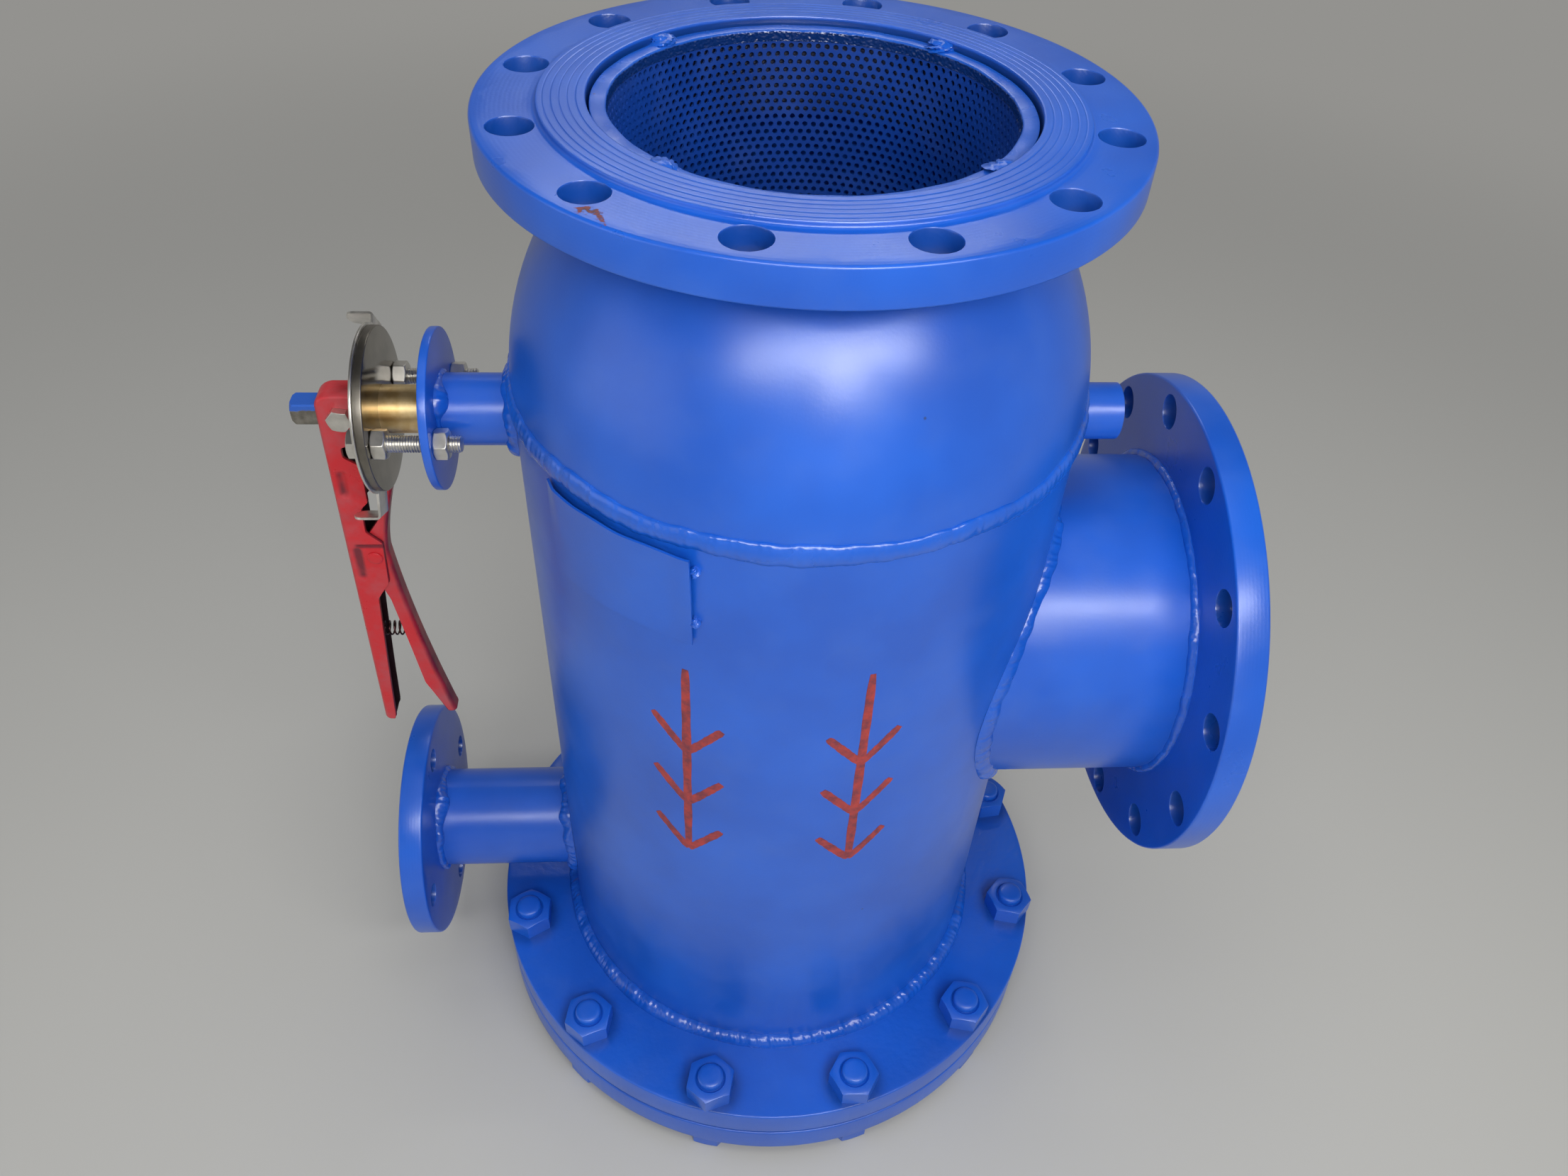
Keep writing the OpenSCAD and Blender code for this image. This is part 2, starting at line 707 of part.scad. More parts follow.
module diverter_plate() {
    color(dark_steel) difference() {
        translate([0, close_gap + diverter_t, -shaft_drop]) rotate([90, 0, 0]) cylinder(r = diverter_r, h = diverter_t);
        for (side = [-1, 1]) cross_hole([side * diverter_bolt_x, -shaft_drop], diverter_bolt_d / 2 + close_gap);
    }
}

// Bolts from behind the plate, through the flat of the shaft
module at_diverter_bolts(y) {
    for (side = [-1, 1])
        translate([side * diverter_bolt_x, y, -shaft_drop]) rotate([90, 0, 0]) children();
}

module diverter_bolts() {
    length = diverter_t + close_gap + shaft_r + nut_h(diverter_bolt_d) + 3;
    color(zinc) at_diverter_bolts(diverter_t + 2 * close_gap) hex_bolt(diverter_bolt_d, length);
}

module diverter_nuts() {
    color(zinc) at_diverter_bolts(-shaft_r - close_gap) hex_nut(diverter_bolt_d);
}

// Outline of the lever's side wall, seen from the front
function lever_outline() = concat(
    [for (p = arc([hub_round, hub_round - hub_rise], hub_round, 180, 270, 8)) on_lever(p[0], p[1])],
    [
        on_lever(hub_depth, -hub_rise), on_lever(hub_depth, 19), on_lever(10.7, 21), on_lever(10.7, 30),
        on_lever(19.7, 35), on_lever(19.7, 63), on_lever(15, 68), on_lever(14.6, ear_top - 8),
        on_lever(23.5, ear_top), on_lever(22.5, ear_bottom), on_lever(14, ear_bottom + 14),
        on_lever(12.3, ear_bottom + 45), on_lever(9.5, lever_len - 35)
    ],
    [for (p = arc([4, lever_len - 4], 4, 10, 170, 8)) on_lever(p[0] + 0.1, p[1])]
);

// Inside of the channel, open towards the vessel
function lever_inside() = [
    on_lever(lever_sheet, lever_sheet - hub_rise + 3), on_lever(lever_sheet + 3, lever_sheet - hub_rise),
    on_lever(2 * hub_depth, lever_sheet - hub_rise), on_lever(2 * hub_depth, lever_len - lever_sheet - 2),
    on_lever(lever_sheet, lever_len - lever_sheet - 2)
];

// Pressed hollows in the outside of the walls
module lever_dimples() {
    for (side = [-1, 1]) translate([0, side * (lever_w - dimple_depth + 1) / 2, 0]) {
        side_plate([on_lever(6.5, 52), on_lever(10.5, 48), on_lever(13.5, 56), on_lever(13.5, 76),
                    on_lever(9, 79), on_lever(6.5, 72)], dimple_depth + 1);
        side_plate([on_lever(7.5, ear_top + 2), on_lever(23, ear_top + 1.5), on_lever(23, ear_top + 4),
                    on_lever(10.5, ear_top + 5), on_lever(10.5, ear_bottom - 6), on_lever(7.5, ear_bottom - 4)],
                   dimple_depth + 1);
    }
}

module lever() {
    color(lever_red) difference() {
        side_plate(lever_outline(), lever_w);
        side_plate(lever_inside(), lever_in);
        lever_dimples();
        translate([-lever_reach - lever_sheet, -square / 2 - close_gap, -shaft_drop - square / 2 - close_gap])
            cube([3 * lever_sheet, square + 2 * close_gap, square + 2 * close_gap]);
        cross_hole([-bolt_x, -shaft_drop], cross_bolt_d / 2 + close_gap);
        cross_hole(pivot, rivet_d / 2 + close_gap);
    }
}

module cross_bolt() {
    color(zinc) translate([-bolt_x, -lever_w / 2, -shaft_drop]) rotate([-90, 0, 0])
        hex_bolt(cross_bolt_d, lever_w + nut_h(cross_bolt_d) + 2);
}

module cross_nut() {
    color(zinc) translate([-bolt_x, lever_w / 2, -shaft_drop]) rotate([-90, 0, 0]) hex_nut(cross_bolt_d);
}

// Solid rivet with two flat round heads
module pivot_rivet() {
    half = lever_w / 2;
    color(lever_red) translate([pivot[0], 0, pivot[1]]) rotate([90, 0, 0]) rotate_extrude() polygon([
        [0, -half - rivet_head_h], [rivet_head_r - 0.8, -half - rivet_head_h], [rivet_head_r, -half - rivet_head_h / 2],
        [rivet_head_r, -half], [rivet_d / 2, -half], [rivet_d / 2, half], [rivet_head_r, half],
        [rivet_head_r, half + rivet_head_h / 2], [rivet_head_r - 0.8, half + rivet_head_h], [0, half + rivet_head_h]
    ]);
}

// Curved channel that is squeezed against the lever
function trigger_outline() = concat(
    trigger_back(0),
    [
        trigger_foot + [-3, -6], trigger_foot + [-6, -3], trigger_foot + [-17, 27], trigger_front_low, trigger_front_high,
        [-7, -10], [-7, 8], [-1.4, 18], [11.7, trigger_top - 18], trigger_tip - [4, 0]
    ]
);

function trigger_inside() = concat(
    trigger_back(lever_sheet), [trigger_foot + [-60, 0], trigger_tip + [-60, 0]]
);

module trigger() {
    color(lever_red) difference() {
        translate([pivot[0], 0, pivot[1]]) difference() {
            side_plate(trigger_outline(), trigger_w);
            side_plate(trigger_inside(), trigger_w - 2 * lever_sheet);
        }
        cross_hole(pivot, pivot_hole_r);
    }
}

// Round wire wound along X from the lever's back to the trigger's
module trigger_spring() {
    rings = spring_turns * spring_facets;
    run = spring_right - spring_left - spring_wire;
    points = [for (i = [0:rings]) for (k = [0:wire_sides - 1])
        let (turn = 360 * i / spring_facets, side = 360 * k / wire_sides)
        let (r = spring_mid_r + spring_wire / 2 * cos(side))
        [run * i / rings + spring_wire / 2 * sin(side), r * cos(turn), r * sin(turn)]];
    sides = [for (i = [0:rings - 1]) for (k = [0:wire_sides - 1])
        let (a = i * wire_sides + k, b = i * wire_sides + (k + 1) % wire_sides)
        [a, b, b + wire_sides, a + wire_sides]];
    ends = [[for (k = [wire_sides - 1:-1:0]) k], [for (k = [0:wire_sides - 1]) rings * wire_sides + k]];
    color(dark_steel) translate([spring_left + spring_wire / 2, 0, spring_z])
        polyhedron(points = points, faces = concat(sides, ends));
}

head();
shell();
inlet_neck();
inlet_flange();
outlet_pipe();
outlet_flange();
drain_pipe();
drain_flange();
base_flange();
base_gasket();
blind_cover();
base_bolts();
base_nuts();
girth_weld();
nozzle_welds();
flange_welds();
nameplate_carrier();
screen_ring();
screen();
screen_seat();
valve_neck();
valve_flange();
throat_bush();
packing_rings();
gland_bush();
clamp_disc();
stop_plate();
gland_bolts();
gland_nuts();
blind_boss();
end_bush();
shaft();
diverter_plate();
diverter_bolts();
diverter_nuts();
lever();
cross_bolt();
cross_nut();
pivot_rivet();
trigger();
trigger_spring();
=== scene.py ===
# %% [markdown]
# Self cleaning filter
#
# The real object is an upright pipeline filter: a welded steel vessel, sprayed blue all over, with a bolted
# cover at its foot, a perforated screen inside and a red hand lever that turns a diverter plate for
# flushing. The CAD model already gives every piece its place and size in millimetres. This lesson dresses
# it: pieces whose shape carries the look (flanges, welds, bolts, screen, lever) are worked out again as
# fine surfaces with numpy, and every piece gets a procedural finish.

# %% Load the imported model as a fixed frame
import json
from types import SimpleNamespace

import bmesh
import bpy
import numpy as np
from mathutils import Matrix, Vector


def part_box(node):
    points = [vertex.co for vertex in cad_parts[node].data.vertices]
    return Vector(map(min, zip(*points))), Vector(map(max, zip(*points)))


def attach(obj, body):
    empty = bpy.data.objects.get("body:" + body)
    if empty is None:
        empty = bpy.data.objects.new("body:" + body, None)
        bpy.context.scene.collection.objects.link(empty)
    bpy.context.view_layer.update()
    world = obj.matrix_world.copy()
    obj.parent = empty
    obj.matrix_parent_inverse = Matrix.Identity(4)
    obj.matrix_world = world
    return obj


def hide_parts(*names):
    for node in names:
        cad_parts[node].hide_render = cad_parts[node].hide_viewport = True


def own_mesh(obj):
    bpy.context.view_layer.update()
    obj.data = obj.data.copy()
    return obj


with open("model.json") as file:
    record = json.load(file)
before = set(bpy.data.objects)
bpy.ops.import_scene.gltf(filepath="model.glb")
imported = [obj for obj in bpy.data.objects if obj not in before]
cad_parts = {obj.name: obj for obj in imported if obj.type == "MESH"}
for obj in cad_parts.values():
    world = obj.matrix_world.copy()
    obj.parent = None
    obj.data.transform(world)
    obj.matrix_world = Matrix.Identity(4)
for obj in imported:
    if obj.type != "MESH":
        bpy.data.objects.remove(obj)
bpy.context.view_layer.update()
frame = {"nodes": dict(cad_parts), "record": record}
MM = 0.001
print("CAD pieces:", len(frame["nodes"]))

# %% [markdown]
# Many places below are taken from the box of a CAD piece, so that the dress follows the model. A box is two
# corners in metres. Millimetres are easier to think in, so the boxes are kept in millimetres, and a mesh is
# scaled to metres only when it is written.

# %% Boxes in millimetres
def low(node):
    """Lowest corner of a CAD piece's box, in millimetres."""
    return np.array(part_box(node)[0]) / MM


def high(node):
    """Highest corner of a CAD piece's box, in millimetres."""
    return np.array(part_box(node)[1]) / MM


def middle(node):
    """Middle of a CAD piece's box: half of the sum of its corners."""
    return (low(node) + high(node)) / 2


SHELL_R = high("shell")[1]
PIPE_R = high("inlet_neck")[0]
DRAIN_R = high("drain_pipe")[1]
SHAFT_Z = middle("valve_neck")[2]
print("radii of shell, pipe and drain", SHELL_R, PIPE_R, DRAIN_R, "shaft at", SHAFT_Z)

# %% [markdown]
# A surface is a grid of points. Joining each point to its neighbours gives the faces, and a grid that
# closes on itself in both directions is a closed solid such as a ring. Where rows shrink to one point, as
# at the tip of a bolt, the equal points are merged and the squeezed quads become triangles. Last, the faces
# are turned so that they all point outwards.

# %% From grids to quads
def grid_quads(rows, cols, wrap_rows=False, wrap_cols=True):
    """Quads of a grid: each joins a point, the next in its row, and the same two in the next row."""
    i = np.arange(rows if wrap_rows else rows - 1)[:, None]
    j = np.arange(cols if wrap_cols else cols - 1)[None, :]
    below = (i + 1) % rows
    beside = (j + 1) % cols
    corners = (i * cols + j, i * cols + beside, below * cols + beside, below * cols + j)
    return np.stack(np.broadcast_arrays(*corners), -1).reshape(-1, 4)


def copies_of(quads, points_each, count):
    """The same quads for each of several equal grids whose points lie one after another."""
    return (quads[None] + points_each * np.arange(count)[:, None, None]).reshape(-1, 4)


def joined(*solids):
    """One set of points and quads from several: each solid's quads count on from the points before it."""
    points = [np.reshape(p, (-1, 3)) for p, q in solids]
    starts = np.cumsum([0] + [len(p) for p in points[:-1]])
    return np.concatenate(points), np.concatenate([q + s for (p, q), s in zip(solids, starts)])


def welded(points, quads, grain=1e-3):
    """Equal points, to a thousandth of a millimetre, become one: points kept, and quads in them."""
    near = np.round(points / grain).astype(np.int64)
    first, back = np.unique(near, axis=0, return_index=True, return_inverse=True)[1:]
    return first, back.reshape(-1)[quads]


print("a tube of 3 rows and 4 columns has", len(grid_quads(3, 4)), "quads")

# %% [markdown]
# Blender takes a mesh fastest as flat lists: all coordinates, then the corners of all faces, then where
# each face starts. A normal that points inwards would spoil shading and export, so the normals are worked
# out anew, and a piece whose volume comes out negative is turned round.

# %% From quads to meshes
def mesh_of(name, points, quads):
    """Mesh of points in millimetres and quads, where a quad with two equal corners becomes a triangle."""
    squeezed = quads == np.roll(quads, -1, axis=1)
    times = squeezed.sum(1)
    tris = quads[times == 1][~squeezed[times == 1]].reshape(-1, 3)
    quads = quads[times == 0]
    corners = np.concatenate([quads.ravel(), tris.ravel()]).astype(np.int32)
    sizes = np.concatenate([np.full(len(quads), 4), np.full(len(tris), 3)])
    mesh = bpy.data.meshes.new(name)
    mesh.vertices.add(len(points))
    mesh.vertices.foreach_set("co", (points * MM).astype(np.float32).ravel())
    mesh.loops.add(len(corners))
    mesh.loops.foreach_set("vertex_index", corners)
    mesh.polygons.add(len(sizes))
    mesh.polygons.foreach_set("loop_start", (np.cumsum(sizes) - sizes).astype(np.int32))
    mesh.polygons.foreach_set("use_smooth", np.ones(len(sizes), bool))
    mesh.update(calc_edges=True)
    return mesh


def face_outwards(mesh):
    """Turn all faces outwards: neighbours agree first, then the sign of the volume decides."""
    shell = bmesh.new()
    shell.from_mesh(mesh)
    bmesh.ops.recalc_face_normals(shell, faces=shell.faces)
    if shell.calc_volume(signed=True) < 0:
        bmesh.ops.reverse_faces(shell, faces=shell.faces)
    shell.to_mesh(mesh)
    shell.free()


print("meshes of the frame:", len(bpy.data.meshes))

# %% [markdown]
# A piece is an object that carries a mesh and a finish. It rides on the CAD body it belongs to, holds its
# finish, and says which CAD pieces it stands for, so that these are hidden. It may also carry
# marks: one number for each point, which a finish can read.

# %% From meshes to pieces
def add_piece(name, solid, finish, body="vessel", stands_for=(), crease=38.0, marks=None):
    """Write points and quads, in millimetres, to a new mesh object and tie it to its body."""
    points, quads = solid
    points = np.reshape(points, (-1, 3))
    kept, quads = welded(points, quads)
    mesh = mesh_of(name, points[kept], quads)
    for mark, values in (marks or {}).items():
        layer = mesh.attributes.new(mark, "FLOAT", "POINT")
        layer.data.foreach_set("value", np.ravel(values)[kept].astype(np.float32))
    face_outwards(mesh)
    mesh.set_sharp_from_angle(angle=np.radians(crease))
    mesh.materials.append(finish)
    piece = bpy.data.objects.new(name, mesh)
    bpy.context.scene.collection.objects.link(piece)
    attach(piece, body)
    if stands_for:
        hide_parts(*stands_for)
    print(name, len(mesh.polygons), "faces")
    return piece


# %% [markdown]
# Hand work is never quite even. A few sine waves of unrelated lengths, added up, give a smooth wander that
# is the same on each run and closes on itself round a ring.

# %% Even and uneven
def wander(angle, seed, waves=(2, 3, 5, 7, 11)):
    """Smooth wander between about -1 and 1 round a circle: a sum of whole waves with seeded phases."""
    phases = np.random.default_rng(seed).uniform(0, 2 * np.pi, len(waves))
    return sum(np.sin(n * angle + p) / np.sqrt(len(waves)) for n, p in zip(waves, phases))


def smooth_step(low_edge, high_edge, value):
    """Zero below the low edge, one above the high edge, and an S-shaped cubic between them."""
    t = np.clip((value - low_edge) / (high_edge - low_edge), 0, 1)
    return t * t * (3 - 2 * t)


def turn_angles(count):
    """Angles of a full turn in equal steps, without the last one, which is the first again."""
    return np.linspace(0, 2 * np.pi, count, endpoint=False)


print("a wander at four quarters:", np.round(wander(turn_angles(4), seed=1), 2))

# %% [markdown]
# A camera is a place, a direction and a lens. The photo's own camera was found from the bolt circles and
# rims of the three large flanges, whose sizes are standard, so the same corners fall on the same spots of
# the picture. The lens follows from the focal length in pixels, because Blender counts it against a sensor
# 36 mm wide.

# %% Camera
PHOTO_WIDTH_PX = 2212
FOCAL_PX = 1660.66
SENSOR_MM = 36
CAMERA_AT = np.array([-57.68, -576.01, 221.27])
CAMERA_YAW, CAMERA_DIP, CAMERA_ROLL = np.radians([5.62, 43.49, 3.41])


def place_facing(thing, right, upward, backward, at):
    """Put a camera or lamp: three unit vectors and a place are the columns of its matrix."""
    pose = np.eye(4)
    pose[:3, :] = np.column_stack([right, upward, backward, at])
    bpy.context.scene.collection.objects.link(thing)
    thing.matrix_world = Matrix(pose.tolist())


level_ahead = np.array([np.sin(CAMERA_YAW), np.cos(CAMERA_YAW), 0])
ahead = level_ahead * np.cos(CAMERA_DIP) - np.array([0, 0, np.sin(CAMERA_DIP)])
level = np.array([np.cos(CAMERA_YAW), -np.sin(CAMERA_YAW), 0])
above = np.cross(level, ahead)
right = np.cos(CAMERA_ROLL) * level + np.sin(CAMERA_ROLL) * above
upward = np.cos(CAMERA_ROLL) * above - np.sin(CAMERA_ROLL) * level
camera_data = bpy.data.cameras.new("camera")
camera_data.sensor_width = SENSOR_MM
camera_data.lens = SENSOR_MM * FOCAL_PX / PHOTO_WIDTH_PX
camera_data.clip_start = 0.01
camera = bpy.data.objects.new("camera", camera_data)
place_facing(camera, right, upward, -ahead, CAMERA_AT * MM)
bpy.context.scene.camera = camera
print("lens", round(camera_data.lens, 2), "mm")

# %% [markdown]
# Colours are sRGB hex values, as one picks them from a photo. Light adds up in linear values, so one
# function turns the first into the second.

# %% Colours
def linear(hex_colour):
    """sRGB hex to linear RGBA: a short straight foot, then a power of 2.4."""
    srgb = np.array([int(hex_colour[i:i + 2], 16) for i in (1, 3, 5)]) / 255
    rgb = np.where(srgb <= 0.04045, srgb / 12.92, ((srgb + 0.055) / 1.055) ** 2.4)
    return (*rgb, 1.0)


print("middle grey in linear light:", round(linear("#808080")[0], 3))

# %% [markdown]
# Materials are trees of nodes. One small function adds a node, sets its properties and gives each input a
# fixed value or a link, so a tree reads from top to bottom as a list of steps. Inputs go by name, or by
# number where names repeat: Mix takes the share at 0 and two colours at 6 and 7, Map Range a value at 0,
# its old range at 1 and 2 and its new one at 3 and 4.

# %% Nodes
def add_node(tree, kind, inputs=None, ramp=(), **settings):
    """Add a node with properties, inputs and colour stops. A node as input joins by its first live output."""
    node = tree.nodes.new("ShaderNode" + kind)
    for key, value in settings.items():
        setattr(node, key, value)
    for key, value in (inputs or {}).items():
        if isinstance(value, bpy.types.Node):
            value = next(output for output in value.outputs if output.enabled)
        if isinstance(value, bpy.types.NodeSocket):
            tree.links.new(value, node.inputs[key])
        else:
            node.inputs[key].default_value = value
    for place, (stop, colour) in enumerate(ramp):
        node.color_ramp.elements[place].position = stop
        node.color_ramp.elements[place].color = linear(colour)
    return node


def new_finish(name):
    """Empty material: returns it, its tree, and the Object coordinates that its patterns read."""
    finish = bpy.data.materials.new(name)
    finish.use_nodes = True
    finish.node_tree.nodes.clear()
    return finish, finish.node_tree, add_node(finish.node_tree, "TexCoord").outputs["Object"]


def shaded(tree, inputs):
    """Close a tree: a Principled shader with these inputs goes to the material's output."""
    shader = add_node(tree, "BsdfPrincipled", inputs)
    add_node(tree, "OutputMaterial", {"Surface": shader})


def per_metre(size_mm):
    """Noise scale whose blobs are about this many millimetres wide, on coordinates in metres."""
    return 1 / (size_mm * MM)


print("noise scale for blobs of 2 mm:", per_metre(2))

# %% [markdown]
# The vessel is mild steel under one thick coat of blue alkyd enamel, sprayed on after welding. That gives
# the eye a deep even blue with slow patches, a little dust and a few specks. Pieces carry marks that the
# finish reads: one mixes in a near black blue as painted shade in bores, holes and recesses and round the
# feet of nuts, and "rust" shows where the coat was knocked off.

# %% Colour of the blue enamel
ENAMEL_DEEP = "#0F50B6"
ENAMEL_PALE = "#155DCA"
ENAMEL_DUSTY = "#5E7FC4"
ENAMEL_PAINTED_SHADE = "#040F2C"
SPECK_GREY = "#2A2A3A"
RUST_DARK = "#4A382F"
RUST_ORANGE = "#7C4030"
PATCH_MM = 90
SPECK_MM = 60
FLAKE_MM = 2.6


def enamel_colour(tree, place, tints, spray):
    """Colour and bare share: patches, dust by the spray noise, painted shade where marked, specks, and rust
    where knocked.
    """
    patch = add_node(tree, "TexNoise", {"Scale": per_metre(PATCH_MM), "Detail": 3.0, "Vector": place})
    body = add_node(tree, "ValToRGB", {0: patch}, [(0.35, tints[0]), (0.68, tints[1])])
    dust = add_node(tree, "MapRange", {0: spray, 1: 0.5, 2: 0.8, 3: 0.0, 4: 0.1})
    coat = add_node(tree, "Mix", {0: dust, 6: body, 7: linear(ENAMEL_DUSTY)}, data_type="RGBA")
    # A mark mixes in a near black blue: painted shade in bores, holes, the inlet neck, the ring's cut face
    # and round the nuts' feet.
    thin = add_node(tree, "Attribute", attribute_name="thin").outputs["Fac"]
    shaded_coat = add_node(tree, "Mix", {0: thin, 6: coat, 7: linear(ENAMEL_PAINTED_SHADE)}, data_type="RGBA")
    cell = add_node(tree, "TexVoronoi", {"Scale": per_metre(SPECK_MM), "Vector": place})
    speck = add_node(tree, "MapRange", {0: cell, 1: 0.008, 2: 0.016, 3: 0.7, 4: 0.0})
    specked = add_node(tree, "Mix", {0: speck, 6: shaded_coat, 7: linear(SPECK_GREY)}, data_type="RGBA")
    rusty = add_node(tree, "Attribute", attribute_name="rust").outputs["Fac"]
    flake = add_node(tree, "TexNoise", {"Scale": per_metre(FLAKE_MM), "Detail": 5.0, "Roughness": 0.6,
                                        "Vector": place})
    edge = add_node(tree, "Math", {0: rusty, 1: flake}, operation="MULTIPLY")
    bare = add_node(tree, "MapRange", {0: edge, 1: 0.33, 2: 0.4, 3: 0.0, 4: 0.95})
    rust = add_node(tree, "ValToRGB", {0: flake}, [(0.46, RUST_DARK), (0.56, RUST_ORANGE)])
    return add_node(tree, "Mix", {0: bare, 6: specked, 7: rust}, data_type="RGBA"), bare


print("enamel colours", ENAMEL_DEEP, ENAMEL_PALE)

# %% [markdown]
# The coat has a soft broad shine, broken by orange peel under 2 mm wide and by slow waves of the rolled
# plate, so bump is laid on bump. The "turned" mark counts millimetres across the rings that a lathe left.
# Real turning lines lie a few tenths of a millimetre apart, too fine to show, so they are drawn 2.2 mm
# apart. Sawn rims show upright saw lines. Each way of working the steel gets its own version, and the inside
# of the vessel gets a darker blue, which is painted shade.

# %% Blue enamel
ENAMEL_IOR = 1.72
PEEL_MM = 1.7
WAVE_MM, WAVE_HEIGHT_MM = 60, 0.4
SPRAY_MM = 30
TURNING_MM, TURNING_HEIGHT_MM = 2.2, 0.006
SAW_MM, SAW_HEIGHT_MM = 5, 0.25


def blue_enamel(name, rough, peel_height, tints=(ENAMEL_DEEP, ENAMEL_PALE), turned=False, sawn=False):
    """Sprayed enamel: colour as above, bump from plate waves, orange peel and the lines of lathe or saw."""
    finish, tree, place = new_finish(name)
    spray = add_node(tree, "TexNoise", {"Scale": per_metre(SPRAY_MM), "Detail": 4.0, "Vector": place})
    colour, bare = enamel_colour(tree, place, tints, spray)
    sheen = add_node(tree, "MapRange", {0: spray, 1: 0.3, 2: 0.7, 3: rough - 0.02, 4: rough + 0.04})
    dull = add_node(tree, "Math", {0: bare, 1: 0.5, 2: sheen}, operation="MULTIPLY_ADD")
    wave = add_node(tree, "TexNoise", {"Scale": per_metre(WAVE_MM), "Detail": 1.0, "Vector": place})
    bent = add_node(tree, "Bump", {"Strength": 1.0, "Distance": WAVE_HEIGHT_MM * MM, "Height": wave})
    peel = add_node(tree, "TexNoise", {"Scale": per_metre(PEEL_MM), "Detail": 2.0, "Vector": place})
    skin = add_node(tree, "Bump", {"Strength": 1.0, "Distance": peel_height * MM, "Height": peel,
                                   "Normal": bent})
    if turned:
        ring = add_node(tree, "Attribute", attribute_name="turned").outputs["Fac"]
        count = add_node(tree, "Math", {0: ring, 1: 2 * np.pi / TURNING_MM}, operation="MULTIPLY")
        line = add_node(tree, "Math", {0: count}, operation="SINE")
        skin = add_node(tree, "Bump", {"Strength": 1.0, "Distance": TURNING_HEIGHT_MM * MM, "Height": line,
                                       "Normal": skin})
    if sawn:
        upright = add_node(tree, "Mapping", {"Scale": (1, 1, 0.03), "Vector": place})
        line = add_node(tree, "TexNoise", {"Scale": per_metre(SAW_MM), "Detail": 2.0, "Vector": upright})
        skin = add_node(tree, "Bump", {"Strength": 1.0, "Distance": SAW_HEIGHT_MM * MM, "Height": line,
                                       "Normal": skin})
    shaded(tree, {"Base Color": colour, "Roughness": dull, "Normal": skin, "IOR": ENAMEL_IOR})
    return finish


enamel = blue_enamel("blue_enamel_on_plate", rough=0.31, peel_height=0.035)
enamel_turned = blue_enamel("blue_enamel_on_turned_steel", rough=0.29, peel_height=0.03, turned=True)
enamel_sawn = blue_enamel("blue_enamel_on_sawn_plate", rough=0.31, peel_height=0.035, sawn=True)
enamel_weld = blue_enamel("blue_enamel_on_weld", rough=0.25, peel_height=0.08)
# Inside the vessel the blue is darker: painted shade.
enamel_inside = blue_enamel("thin_blue_enamel_inside", rough=0.36, peel_height=0.04,
                            tints=("#0B388C", "#1045A6"))
print("enamels:", enamel.name, enamel_turned.name, enamel_sawn.name, enamel_weld.name, enamel_inside.name)

# %% [markdown]
# The lever and its trigger are pressed sheet steel, dipped in red paint. The paint is satin and chalky where
# dust lies. A mark darkens and browns it as painted shade in the pressed hollows and on the trigger's back,
# and a little along the walls' edges. Painted shade also makes the channel's inside nearly black.

# %% Red dipped paint
RED_BRIGHT = "#BC2029"
RED_DUSTY = "#A84A50"
RED_SHADE = "#541A27"
CHANNEL_SHADE = "#1E0C11"
DUST_MM, SHADE_BLOT_MM = 34, 18
DIP_MM, DIP_HEIGHT_MM = 5, 0.3

red_dip, tree, place = new_finish("red_dipped_paint")
cloud = add_node(tree, "TexNoise", {"Scale": per_metre(DUST_MM), "Detail": 6.0, "Roughness": 0.65,
                                    "Vector": place})
body = add_node(tree, "ValToRGB", {0: cloud}, [(0.42, RED_BRIGHT), (0.68, RED_DUSTY)])
# A mark darkens and browns the red: painted shade in the pressed hollows and on the trigger's back, and a
# little along the walls' edges.
shade_and_dark_edges = add_node(tree, "Attribute", attribute_name="shade_and_dark_edges").outputs["Fac"]
blot = add_node(tree, "TexNoise", {"Scale": per_metre(SHADE_BLOT_MM), "Detail": 3.0, "Vector": place})
blotched_shade = add_node(tree, "Math", {0: shade_and_dark_edges, 1: blot}, operation="MULTIPLY")
dark = add_node(tree, "MapRange", {0: blotched_shade, 1: 0.08, 2: 0.55, 3: 0.0, 4: 0.85})
shaded_red = add_node(tree, "Mix", {0: dark, 6: body, 7: linear(RED_SHADE)}, data_type="RGBA")
# The channel's inner skin is painted near black as painted shade.
inner = add_node(tree, "Attribute", attribute_name="inside").outputs["Fac"]
colour = add_node(tree, "Mix", {0: inner, 6: shaded_red, 7: linear(CHANNEL_SHADE)}, data_type="RGBA")
sheen = add_node(tree, "MapRange", {0: cloud, 1: 0.3, 2: 0.7, 3: 0.24, 4: 0.5})
peel = add_node(tree, "TexNoise", {"Scale": per_metre(DIP_MM), "Detail": 3.0, "Vector": place})
skin = add_node(tree, "Bump", {"Strength": 1.0, "Distance": DIP_HEIGHT_MM * MM, "Height": peel})
shaded(tree, {"Base Color": colour, "Roughness": sheen, "Normal": skin, "IOR": 1.5})
print(red_dip.name, "of", len(tree.nodes), "nodes")

# %% [markdown]
# The bare metals differ in tint and in how they were worked. Zinc plate on bolts and on the stop plate is
# pale, hazy and faintly mottled. The clamp disc is turned and polished until it mirrors the brass bush, and
# its edge, which carries an "edge" mark, is only rubbed with a file. The gland is turned brass with a soft
# gleam, the spring wire oiled black steel. All come from one function: a tint, a mottle size, a roughness
# range, and strokes that are stretched along one way. Real strokes are finer than a pixel, so these are
# drawn about half a millimetre wide or more.

# %% Bare metals
EDGE_DULL = 0.26


